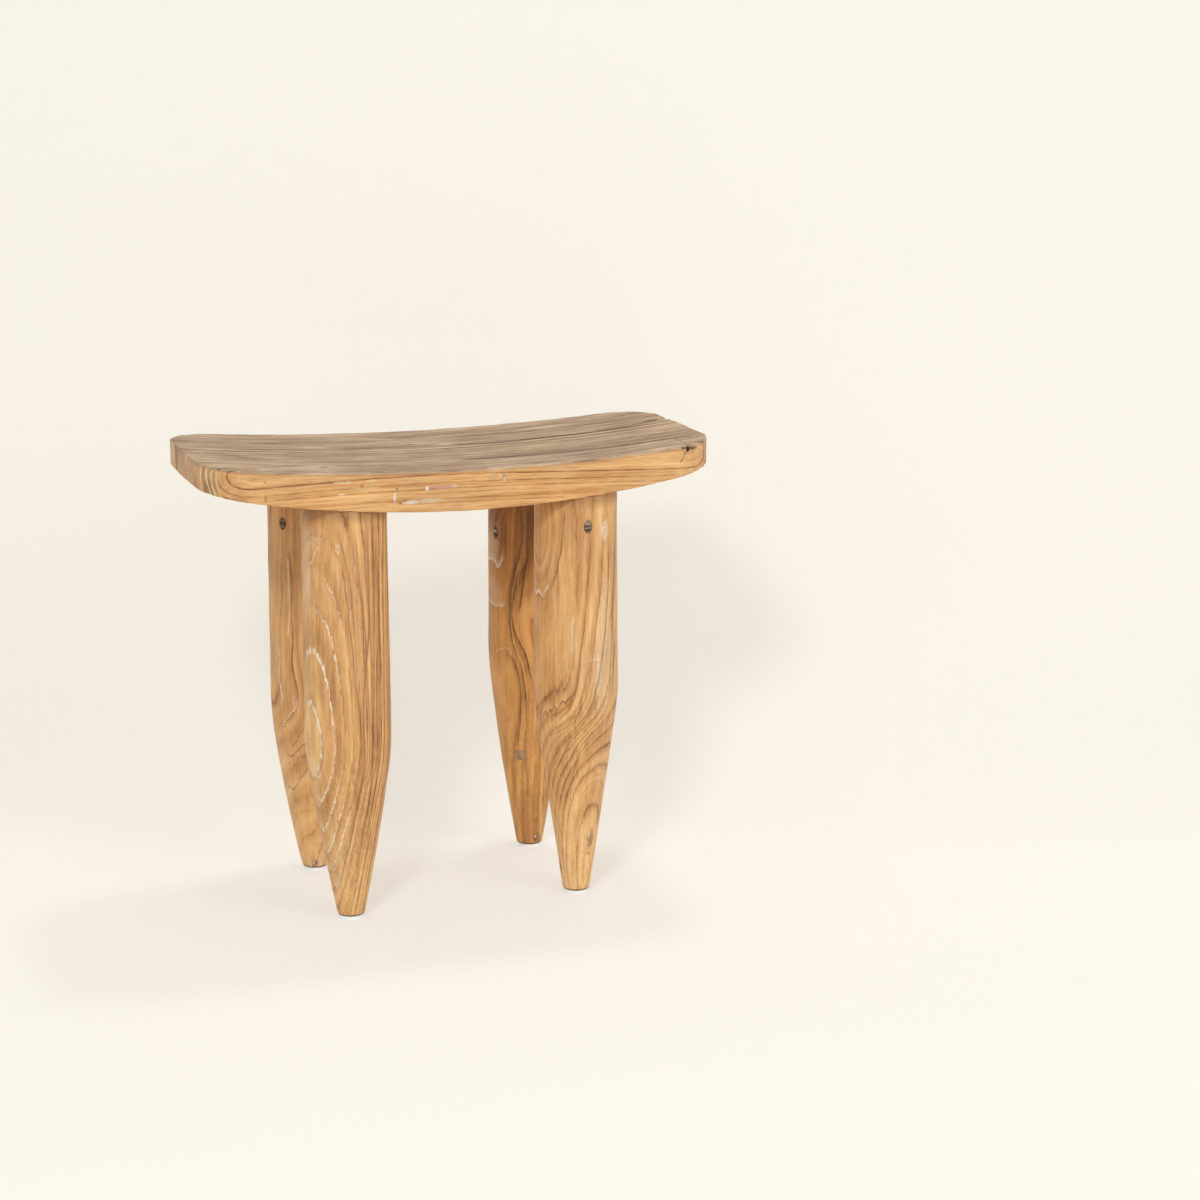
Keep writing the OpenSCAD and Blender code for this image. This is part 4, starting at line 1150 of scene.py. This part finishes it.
# %% Lines on the legs
# The offset of a point is counted round the leg, on a radius of 40 mm, from the side that faces the
# front and slightly left. "up" lines run up the leg, and "round" lines run round it.
FACING, ARC_RADIUS = math.radians(-106), 40.0
UMBER, RUST = paint(96, 58, 28), paint(142, 88, 44)
LEG_LINES = {
    # leg: direction, points, half width, colour, amount, teeth, soft side
    "front_left": [
        ("up", [(398.2, -5.5), (364, 0.7), (337.8, 5.8), (308.7, 8.4), (259.5, 10.4), (218.5, 11.7),
            (187.5, 14.2), (156.6, 13.1), (123.8, 5.7), (91.3, -6.9)],
            1.0, RUST, 0.6, 0.3, 5.0),
        ("up", [(395.9, 24.6), (339.6, 24.4), (289.4, 23.9), (238.4, 18.4), (197.4, 16.5), (166.5, 16.7),
            (134.7, 12.5), (80.2, 1.2), (34.1, -16)],
            1.5, RUST, 0.75, 0.3, 6.0),
        ("up", [(357.5, 37.7), (297.2, 36.9), (236.1, 35.1), (174.1, 33.3), (110.3, 30.1), (44.9, 24.1)],
            1.1, UMBER, 0.6, 0.2, 4.0),
        ("up", [(388.8, 31.1), (318.4, 30), (237.2, 28.7), (175.3, 26.6), (111.5, 23.3), (34.3, 12.1)],
            1.0, UMBER, 0.55, 0.2, 4.0),
        ("up", [(321.6, -40.6), (338.4, -37.4), (353.3, -32.6), (364.6, -26.7), (370.4, -21.6)],
            0.9, CHALK, 0.85, 0.8),
        ("up", [(363.7, 0.2), (341.6, 0.6), (317.3, 3.7), (292.9, 5.2), (268.3, 7.9), (239.6, 9.3),
            (216.8, 12.9), (194, 13.6), (167, 12.6), (139.3, 9)],
            0.8, RUST, 0.7, 0.25, 2.5),
        ("up", [(397.2, 12.8), (361.1, 13.7), (324.5, 16.3), (291.6, 19.9), (254.8, 20.8), (217.6, 22.2),
            (180.3, 22.9), (146.7, 20.1), (112.5, 14.5), (73.2, 4.6), (37.1, -4.8)],
            0.7, RUST, 0.7, 0.25, 2.5),
        ("up", [(388.7, 34.2), (352.3, 34.9), (313.6, 35.5), (277, 34.6), (236.5, 31.5), (203.7, 30.6),
            (166.7, 27.8), (132.8, 25.1), (98.7, 19.4), (59.4, 10.7)],
            0.6, UMBER, 0.55, 0.25, 2.5),
        # white edges of the slanted rings low on the leg
        *(("round", points, 1.1, CHALK, 0.9, 0.8, -3.0) for points in (
            [(-47.9, 162.9), (-40.1, 150), (-29.4, 148), (-22.3, 162.1)],
            [(-46, 132.4), (-38.7, 124.9), (-29.2, 124.2), (-22.8, 135)],
            [(-44.6, 101.4), (-41.5, 93), (-32.2, 91.9), (-24.9, 101.8)],
            [(-38.7, 51), (-35.5, 42.4), (-30.4, 34.9), (-17.3, 47.9)],
        )),
        ("round", [(-37.3, 68.7), (-25.5, 77.1), (-19.5, 85.7), (-15.6, 94.9)], 1.0, CHALK, 0.9, 0.8, -4.0),
        ("round", [(-36.5, 49.2), (-24.6, 55.9), (-17.1, 68.8), (-10.4, 79.5)], 0.9, CHALK, 0.8, 0.8, -4.0),
        ("round", [(-35.5, 41.3), (-33, 35.4), (-20.3, 43.2), (-11.9, 57.7), (-8.3, 64.9)],
            1.1, CHALK, 0.95, 0.8, -4.0),
    ],
    "front_right": [
        ("up", [(390.1, -11.4), (366.1, -13.4), (345.1, -16.3), (324.1, -21.2), (313.1, -25.1),
            (309.1, -28.1)],
            0.7, UMBER, 0.8, 0.3, 4.0),
        ("round", [(-49.7, 300.7), (-41.9, 302.8), (-37.2, 300.2), (-32.2, 302.2), (-29.5, 307.2),
            (-26.9, 313.1)],
            0.9, RUST, 0.75, 0.3),
        ("round", [(-53.9, 307.5), (-48.7, 303.6), (-46.2, 306.5), (-42.6, 307.6), (-40.1, 304.8),
            (-37.2, 302.7), (-35.1, 307.5), (-33.2, 308.9), (-30.4, 313.9), (-28.6, 317.5)],
            2.2, CHALK, 1.0, 0.4, -4.0, "LINEAR"),
        ("up", [(382.7, 13.6), (364.2, 12.2), (345.5, 12.8), (320.8, 10.4), (295.9, 8), (275.1, 6.7),
            (254.2, 3.4), (235.3, 1.5), (218.5, -0.3), (202.5, -4.4), (190.3, -11.7), (179.2, -23.3),
            (169.8, -33.4)],
            0.8, RUST, 0.85, 0.25, 3),
        ("up", [(352.6, 25.2), (323.4, 25.3), (294.6, 21.3), (269.9, 17.9), (245, 14.7), (220, 11.1),
            (202.2, 6.6), (188.4, -1.6), (178.2, -12.1), (169.1, -24.2)],
            0.8, RUST, 0.85, 0.25, 3),
        ("up", [(357.4, 34.6), (326.1, 34.4), (293.1, 31.6), (264.1, 28.5), (239.5, 24.6), (216.9, 19.6),
            (198.4, 14), (183.8, 5.2), (172.9, -5.1), (161, -17.7), (146.3, -28.1)],
            0.8, UMBER, 0.75, 0.25, 3),
        ("up", [(316.3, 42), (278.7, 40.7), (245.2, 38.8), (218.6, 34.3), (198.7, 26.6), (185, 16.8),
            (175, 5.9), (164, -5.3), (150.1, -14.9), (131.3, -23.8)],
            0.8, UMBER, 0.7, 0.25, 3),
        ("up", [(256.5, 45.3), (223.2, 41.9), (203, 36.9), (187.5, 28.6), (176.1, 17.4), (166, 6.6),
            (152.9, -3.1), (134.8, -10.5)],
            0.7, RUST, 0.8, 0.25, 2.5),
        ("up", [(185.4, 38.3), (172.1, 28.8), (163, 15.9), (152.7, 5.1), (137.2, -2.2), (119.2, -6.7),
            (96.4, -9.9)],
            0.7, UMBER, 0.7, 0.25, 2.5),
        # two zigzag lines with sharp teeth
        ("round", [(-48.8, 175.8), (-43.5, 187), (-39.8, 193.3), (-34.9, 205.6), (-33.1, 200.1),
            (-31.1, 205.9), (-27.7, 212.4), (-25.7, 208.4), (-23.2, 219.8), (-19.9, 211.3), (-17.6, 214.9),
            (-15.1, 224.2), (-13.2, 214.7), (-11.3, 215.4), (-9.2, 221.2), (-7.9, 225.4), (-5.5, 230.1),
            (-4.2, 235.1)],
            1.7, RUST, 1.0, 0.25, 7.5, "LINEAR"),
        ("round", [(-42.9, 179.6), (-37.1, 187.7), (-34.2, 190.7), (-31.9, 186.6), (-28.7, 193.5),
            (-26.5, 191), (-23.8, 199.4), (-21.8, 195.4), (-19.6, 192.9), (-17.2, 199.4), (-14.2, 203.3),
            (-11.4, 201.3), (-9, 205.8), (-7.2, 207.2), (-4.6, 209.2), (-2.5, 214.2), (-1.2, 220.1),
            (0.1, 229.1)],
            1.6, RUST, 1.0, 0.25, 4.5, "LINEAR"),
        ("up", [(231.1, -4.2), (250.1, -3.8), (265, -3.4), (282, -3)], 1.3, RUST, 0.5, 0.3, 3.0),
        ("up", [(166.7, -25.9), (174, -15.3), (180.4, -6.2), (186.3, -0.5), (192.7, 2.2), (200.6, 4.2)],
            0.9, UMBER, 0.75, 0.2, 3.0),
    ],
    "rear_left": [
        ("up", [(341, -17.5), (325, -16.3), (299, -15.2), (275, -16.7), (249.1, -15.3), (223.2, -16.7),
            (206.2, -14), (189.3, -11.1), (178.3, -13.4)],
            1.3, paint(122, 76, 40), 0.85, 0.3, 4.0),
        ("up", [(331, -19.7), (303, -18.6), (275, -18.5), (244.1, -21.2)], 1.2, CREAM, 0.6, 0.3),
        ("up", [(327, -26.2), (308, -27.8), (293, -26), (265.1, -29.9)], 0.9, RUST, 0.7, 0.3),
        ("up", [(238.3, -33.8), (223.3, -31.8), (207.4, -33.5), (186.5, -30), (177.6, -31.4)],
            0.9, CHALK, 0.9, 0.5),
        ("round", [(-35.9, 152), (-24.2, 165.6), (-13.9, 177.3), (-11.1, 188.3)], 1.2, CHALK, 0.8, 1.6),
        ("round", [(-37, 149.1), (-24.6, 162.6), (-14.1, 173.9), (-9.3, 184.3)], 0.8, UMBER, 0.55, 1.6),
        ("round", [(-22, 136.7), (-13.3, 146.5), (-2.2, 163.3)], 0.9, UMBER, 0.65, 1.6, 3.0),
        ("round", [(-29.5, 126), (-18.8, 128.8), (-2.1, 145.4)], 1.0, UMBER, 0.75, 1.6, 4.0),
        ("round", [(-23.7, 113), (-13.5, 125.7), (-1.8, 127.5)], 0.8, UMBER, 0.6, 1.6, 3.0),
        ("round", [(-39.2, 92.2), (-25, 91.3), (-13.2, 104.9), (-0.7, 116.6)], 0.9, UMBER, 0.6, 1.6, 4.0),
    ],
    "rear_right": [
        ("up", [(384.9, -0.1), (333, -1), (312, -1.4), (299, -4), (282.1, -6.2), (269.1, -8.4),
            (251.2, -10.9)],
            1.2, UMBER, 1.0, 0.3, 5.0),
        ("up", [(305, -8.3), (289, -12.2), (267.1, -16.7), (249.2, -17.5), (231.3, -12.7), (217.4, -5.3),
            (193.5, 0.3), (181.6, 2.3)],
            1.3, UMBER, 0.95, 0.4, 6.0),
        ("up", [(379.9, -6.6), (361.9, -6.6), (330.9, -6.7), (305, -12.5), (282, -17.7), (257.1, -19.6),
            (240.2, -19.5), (222.3, -16.1), (204.4, -9.6), (182.6, -5.6), (158.8, -3.8), (135.9, -5)],
            1.1, UMBER, 0.9, 0.4, 5.0),
        ("round", [(-52.1, 200.4), (-38.5, 212.3), (-27.4, 217.7), (-19.6, 216.3), (-14.2, 204.4)],
            0.8, CHALK, 0.55, 0.8),
        ("up", [(214.4, -18.1), (204.4, -14.2), (181.6, -10.3), (158.8, -9.9), (135, -12.2), (111.2, -16.7)],
            0.9, UMBER, 0.8, 0.3, 5.0),
        ("up", [(92.4, -20.3), (62.7, -26.7)], 0.8, UMBER, 0.6, 0.3, 3.0),
        ("up", [(95.3, -5.1), (76.5, -3.3), (56.8, -4.6)], 0.9, UMBER, 0.6, 0.3, 3.0),
        ("round", [(-60.5, 305.6), (-42.8, 307.8), (-38.8, 304.9), (-35.6, 301.5), (-30.8, 305.6),
            (-26.8, 314.9), (-25.8, 321.9)],
            2.6, CHALK, 1.0, 0.8, -10.0),
        ("round", [(-57.6, 263.9), (-43.1, 261.3), (-35.7, 261.5), (-25.7, 264.1), (-24.4, 280.7),
            (-23.3, 270.6)],
            1.6, CHALK, 0.95, 0.4, -7.0),
    ],
}
for key, timber in leg_timber.items():
    toward = timber.x * math.cos(FACING) + timber.y * math.sin(FACING)
    side = timber.y * math.cos(FACING) - timber.x * math.sin(FACING)
    around = side.math("ARCTAN2", toward) * ARC_RADIUS
    height = timber.z + LEG_MIDDLE
    for way, *shape in LEG_LINES[key]:
        fields = (height, around) if way == "up" else (around, height)
        timber.stroke(*fields, *shape)
    # Painted shade: a dark band round the top of each leg, just under the seat, where the seat's shadow
    # falls.
    rim = timber.ramp(height, 386, 399) * 0.45
    timber.colour = timber.mix(rim, timber.colour, paint(112, 70, 38))
    # Painted shade: a dark line round the bottom edge of each foot, where it meets the glide.
    painted_foot_shadow = timber.ramp(height, GLIDE_THICKNESS + 2.4, GLIDE_THICKNESS + 1.0) * 0.85
    timber.colour = timber.mix(painted_foot_shadow, timber.colour, paint(82, 54, 30))
    print(key, "leg lines:", len(LEG_LINES[key]), "nodes:", len(timber.tree.nodes))

# %% [markdown]
# ## Plugs and patch
#
# A slanted screw ties each leg to the seat, and a small wooden plug closes its pocket. A plug is
# glued in long and cut flush, so it is made the same way: a peg is set in the pocket and only
# what lies inside the leg is kept. The square patch in the rear right leg is let in likewise. The
# mouth of each pocket has worn a little wider, which leaves a dark line round the plug.

# %% Set the plugs
POCKET_D, SLANT = 7.4, 34.0
PEG_CLEARANCE, SCREW_CLEARANCE = 0.1, 0.1
SCREW_D, SCREW_HEAD_D, SCREW_HEAD_H = 3.5, 6.8, 2.4
SCREW_LENGTH, SCREW_BITE, PLUG_ROOM = 45.0, 25.0, 1.0
MOUTH_WEAR, MOUTH_DEPTH, OUTSIDE = 0.45, 3.0, -15.0


def pocket_place(leg):
    """Where the pocket's axis enters the leg, with +Z along the screw, and the depth of its head."""
    drop, azimuth = leg["pocket"]
    z = belly_z(leg["x"]) - drop
    place = (
        shift(leg["x"], leg["y"], z) @ spin(azimuth, "Z")
        @ shift(leg_radius(leg, z), 0) @ spin(-SLANT, "Y")
    )
    return place, drop / math.cos(math.radians(SLANT)) + SCREW_BITE - SCREW_LENGTH


def screw_bore(key):
    """The cutter of a whole pocket: its worn mouth, its shaft, and the hole for the screw."""
    place, head_depth = pocket_place(LEGS[key])
    shank = SCREW_D / 2 + SCREW_CLEARANCE
    profile = [
        (POCKET_D / 2 + MOUTH_WEAR, OUTSIDE),
        (POCKET_D / 2 + MOUTH_WEAR, MOUTH_DEPTH),
        (POCKET_D / 2, MOUTH_DEPTH + 0.5),
        (POCKET_D / 2, head_depth),
        (SCREW_HEAD_D / 2 + SCREW_CLEARANCE, head_depth + 0.01),
        (shank, head_depth + SCREW_HEAD_H + SCREW_CLEARANCE),
        (shank, head_depth + SCREW_LENGTH + SCREW_CLEARANCE),
    ]
    return turn(key + "_bore", profile, 40, place)


plugs = {}
for key, leg in LEGS.items():
    place, head_depth = pocket_place(leg)
    peg_radius = POCKET_D / 2 - PEG_CLEARANCE
    peg = turn(key + "_plug", [(peg_radius, OUTSIDE), (peg_radius, head_depth - PLUG_ROOM)], 40, place)
    finish_modifier(peg, "BOOLEAN", operation="INTERSECT", solver="EXACT", object=legs[key])
    soften(peg, 0.25, segments=2, angle=50)
    shade(peg)
    plugs[key] = peg
    print(key, "plug faces:", len(peg.data.polygons))

# %% Let in the patch
PATCH = {"width": 12.0, "height": 11.0, "depth": 5.0, "z": 104.5, "azimuth": -124.5}


def patch_block(name, clearance):
    """The block of the patch, grown by a clearance."""
    leg = LEGS["rear_right"]
    begin()
    bpy.ops.mesh.primitive_cube_add(size=1.0)
    block = bpy.context.object
    block.name = name
    reach = 2 * PATCH["depth"]
    middle = leg_radius(leg, PATCH["z"]) - clearance + reach / 2 - PATCH["depth"]
    block.matrix_world = (
        shift(leg["x"], leg["y"], PATCH["z"]) @ spin(PATCH["azimuth"], "Z") @ shift(middle, 0)
        @ Matrix.Diagonal((
            reach * MM,
            (PATCH["width"] + 2 * clearance) * MM,
            (PATCH["height"] + 2 * clearance) * MM,
            1,
        ))
    )
    settle(block)
    return block


patch = patch_block("let_in_patch", 0.0)
finish_modifier(patch, "BOOLEAN", operation="INTERSECT", solver="EXACT", object=legs["rear_right"])
soften(patch, 0.25, segments=2, angle=50)
shade(patch)
print("patch faces:", len(patch.data.polygons))

# %% [markdown]
# ## Glides
#
# Under each foot a small plastic disc is nailed on, so the stool slides without scraping. It is
# turned with rounded rims, and bored for its nail, with a wide recess that hides the nail's head.

# %% Turn the glides
GLIDE_RADIUS, GLIDE_RIM = 11.5, 0.6
NAIL_HEAD_D, NAIL_HEAD_T, NAIL_D, NAIL_RECESS, NAIL_LENGTH = 5.0, 0.8, 1.8, 0.6, 18.0
rim_angles = [math.radians(15 * step) for step in range(7)]
glide_profile = [
    (GLIDE_RADIUS - GLIDE_RIM + GLIDE_RIM * math.sin(angle), GLIDE_RIM - GLIDE_RIM * math.cos(angle))
    for angle in rim_angles
] + [
    (GLIDE_RADIUS - GLIDE_RIM + GLIDE_RIM * math.cos(angle),
     GLIDE_THICKNESS - GLIDE_RIM + GLIDE_RIM * math.sin(angle))
    for angle in rim_angles
]
first_glide = turn("first_glide", glide_profile, 48)
nail_head_top = NAIL_RECESS + NAIL_HEAD_T + SCREW_CLEARANCE
carve(first_glide, turn("recess", [
    (NAIL_HEAD_D / 2 + SCREW_CLEARANCE, -2),
    (NAIL_HEAD_D / 2 + SCREW_CLEARANCE, nail_head_top),
    (NAIL_D / 2 + SCREW_CLEARANCE, nail_head_top + 0.001),
    (NAIL_D / 2 + SCREW_CLEARANCE, GLIDE_THICKNESS + 2),
], 32))
glides = {}
for key, leg in LEGS.items():
    glide = copy_of(first_glide, key + "_glide")
    glide.location = (leg["x"] * MM, leg["y"] * MM, 0)
    settle(glide)
    shade(glide)
    glides[key] = glide
discard(first_glide)
print("glide faces:", len(glides["front_left"].data.polygons))

# %% [markdown]
# ## Cracks and bores
#
# Old wood has checks: thin splits that follow the grain. Each is cut with a spindle that is sunk
# half into the surface, so the split is widest in its middle and runs out to nothing. The joints
# also need their holes. The dowels are solids already, so their boxes say where to drill. All
# cutters for a piece are united first, so that each piece is cut only once.

# %% Cut the boards and legs
DOWEL_END_ROOM = 1.5
CRACKS = {
    # piece: (place, length, width, depth, heading, tilt)
    "front": [
        ((214, -110.5, 440.3), 7, 3.6, 4.0, 25, 0),
        ((209.5, -113.0, 437.0), 15, 1.1, 3.0, 15, 62),
        ((219, -108.5, 439.0), 13, 1.1, 3.0, 25, 18),
        ((208.2, -112.5, 441.0), 6, 1.2, 2.5, 10, 65),
    ],
    "middle": [
        ((122, 16.0, 438.0), 84, 1.5, 4.0, 1.2, -2.7),
        ((196, 18.2, 442.6), 66, 0.9, 3.0, 2.0, -4.6),
        ((-207, -24, 443.4), 34, 0.7, 1.2, -3, 4.6),
    ],
    "rear": [
        ((232, 33, 445.8), 50, 3.0, 3.6, 14, -5.0),
        ((252, 36, 447.6), 34, 15.0, 3.2, 0, -5.0),
        ((206, 50, 443.4), 46, 0.9, 1.6, 4, -4.6),
        ((92, 70, 436.6), 30, 0.6, 0.8, 1, -2.0),
        ((-22, 32, 435.1), 9, 1.6, 1.2, 5, 0),
    ],
}


def dowel_bore(node):
    """A cutter a little wider and longer than a dowel, at the dowel's place."""
    low, high = (Vector(corner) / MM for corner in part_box(node))
    middle, size = (low + high) / 2, high - low
    stands = size.z > size.y
    radius, half = size.x / 2 + PEG_CLEARANCE, max(size) / 2 + DOWEL_END_ROOM
    turned = Matrix.Identity(4) if stands else spin(90, "X")
    return turn(node + "_bore", [(radius, -half), (radius, half)], 32, shift(*middle) @ turned)


def meets(cutter, piece):
    """Whether the box of a cutter meets the box of a piece."""
    boxes = []
    for item in (cutter, piece):
        corners = [item.matrix_world @ Vector(corner) for corner in item.bound_box]
        boxes.append([(min(c[axis] for c in corners), max(c[axis] for c in corners)) for axis in range(3)])
    return all(a[0] < b[1] and b[0] < a[1] for a, b in zip(*boxes))


def cut_once(piece, cutters):
    """Unites copies of the cutters that reach a piece and cuts it with them."""
    reaching = [copy_of(cutter, "cutter") for cutter in cutters if meets(cutter, piece)]
    for cutter in reaching[1:]:
        carve(reaching[0], cutter, "UNION")
    carve(piece, reaching[0])
    shade(piece)
    print(piece.name, "cut by", len(reaching), "faces:", len(piece.data.polygons))


bores = [dowel_bore(name) for name in sorted(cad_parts) if "dowel" in name]
bores += [screw_bore(key) for key in LEGS]
for key, piece in boards.items():
    cracks = [spindle(key + "_crack", *crack) for crack in CRACKS[key]]
    cut_once(piece, bores + cracks)
    discard(*cracks)
for key, piece in legs.items():
    nail_bore = turn("nail_bore", [
        (NAIL_D / 2 + SCREW_CLEARANCE, 0),
        (NAIL_D / 2 + SCREW_CLEARANCE, NAIL_RECESS + NAIL_LENGTH + SCREW_CLEARANCE),
    ], 24, shift(LEGS[key]["x"], LEGS[key]["y"]))
    extra = [nail_bore] + ([patch_block("patch_pocket", PEG_CLEARANCE)] if key == "rear_right" else [])
    cut_once(piece, bores + extra)
    discard(*extra)
discard(*bores)

# %% [markdown]
# ## Finishes of the small parts
#
# A plug shows its end grain, which greys first, so it is darker and finely speckled. The patch is
# a greyer piece of the same wood. The glides are matt white plastic with fine scuffs, and the
# dowels, screws and nails that are hidden inside get plain finishes of their own.

# %% Wood of the plugs, the patch and the dowels
PLUG_TONES = (paint(214, 196, 172), paint(182, 160, 134), paint(124, 100, 76), paint(58, 42, 30))
PLUG_BROWN = (paint(190, 158, 118), paint(150, 118, 82), paint(92, 66, 42), paint(44, 30, 20))
PLUG_DARK = (paint(150, 126, 100), paint(84, 64, 46), paint(50, 36, 26), paint(30, 20, 14))
PLUG_ROWS = {
    "front_left": PLUG_TONES, "front_right": PLUG_TONES, "rear_left": PLUG_BROWN, "rear_right": PLUG_DARK,
}
PLUG_MARKS = {
    "rear_right": [
        (-161.8, 333.8, 7, 1.6, paint(26, 20, 18)),
        (-163.9, 337, 5, 1.0, paint(236, 226, 208)),
        (-161.8, 330.3, 4, 2.2, paint(112, 104, 104)),
    ],
}
PATCH_TONES = (paint(206, 174, 136), paint(172, 138, 100), paint(126, 94, 64), paint(80, 54, 34))
BEECH_TONES = (paint(232, 204, 160), paint(216, 184, 138), paint(180, 142, 98), paint(140, 104, 66))

plug_material = {}
for key in LEGS:
    tones = PLUG_ROWS[key]
    leg = LEGS[key]
    plug_wood = Timber(key + "_plug_wood", "X", (leg["x"], leg["y"], LEG_MIDDLE), 40)
    plug_wood.grow((20, 10, 0, 0, 0, 0), waves=4.0, ripples=3.0, teeth=1.5)
    plug_wood.even_rings(0, 1.7)
    plug_wood.colour_in(tones, tones, line_strength=0.9, contrast=2.2)
    for azimuth, height, wide, up, colour in PLUG_MARKS.get(key, []):
        plug_wood.mark(on_leg(key, azimuth, height), (wide, wide, up), colour, 0.95)
    plug_material[key] = plug_wood.close()

patch_wood = Timber("patch_wood", "Z", (LEG_X, LEG_Y, LEG_MIDDLE), 90)
patch_wood.grow((30, 60, 0, 0, 0, 0), waves=2.0)
patch_wood.even_rings(0, 2.4)
patch_wood.colour_in(PATCH_TONES, PATCH_TONES, line_strength=0.5)
patch_material = patch_wood.close()

dowel_material = {}
for along in ("Y", "Z"):
    beech = Timber("dowel_wood_" + along, along, (0, 0, 0), 7)
    beech.grow((300, 500, 0, 0, 0, 0), waves=2.0)
    beech.even_rings(0, 2.6)
    beech.colour_in(BEECH_TONES, BEECH_TONES, line_strength=0.4)
    dowel_material[along] = beech.close(0.0001)

# %% Plastic and plated steel
plastic = Recipe("matt_white_plastic")
place = plastic.node("ShaderNodeTexCoord", {}, out=3)
scuff = plastic.noise(plastic.stretch(place, (0.0012, 0.0012, 0.0004)), detail=4.0)
painted_shading_and_grime = plastic.ramp(plastic.noise(plastic.stretch(place, (0.006, 0.006, 0.003)), detail=2.0), 0.0, 0.2)
white = plastic.mix(0.25 * painted_shading_and_grime, paint(252, 254, 255), paint(212, 210, 204))
glide_material = plastic.principled(white, 0.42 + 0.3 * scuff, 0.5 + scuff, 0.00005)

steel = Recipe("zinc_plated_steel")
place = steel.node("ShaderNodeTexCoord", {}, out=3)
spangle = steel.noise(steel.stretch(place, (0.0022, 0.0022, 0.0022)), detail=3.0)
zinc = steel.mix(0.5 + 1.2 * spangle, paint(206, 208, 210), paint(168, 172, 180))
steel_material = steel.principled(zinc, 0.34 + 0.4 * spangle, 0.5 + spangle, 0.00003, Metallic=1.0)

# %% [markdown]
# ## Handing over
#
# Every new piece hides the solid that it stands for and rides on the stool's one body. The solids that
# stay, the dowels, screws and nails, only get their finish.

# %% Hand the pieces over
def hand_over(piece, material, node):
    """Gives a piece its one material, hides the solid that it replaces, and puts the piece on the stool's
    body.
    """
    piece.data.materials.clear()
    piece.data.materials.append(material)
    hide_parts(node)
    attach(piece, "root")


for key, piece in boards.items():
    hand_over(piece, board_timber[key].close(), "seat_board_" + key)
for key in LEGS:
    hand_over(legs[key], leg_timber[key].close(), "leg_" + key)
    hand_over(plugs[key], plug_material[key], "plug_" + key)
    hand_over(glides[key], glide_material, "foot_glide_" + key)
hand_over(patch, patch_material, "repair_patch")
for name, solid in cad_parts.items():
    if "dowel" in name:
        finish = dowel_material["Y" if name.startswith("edge") else "Z"]
    elif "screw" in name or "nail" in name:
        finish = steel_material
    else:
        continue
    solid.data.materials.clear()
    solid.data.materials.append(finish)
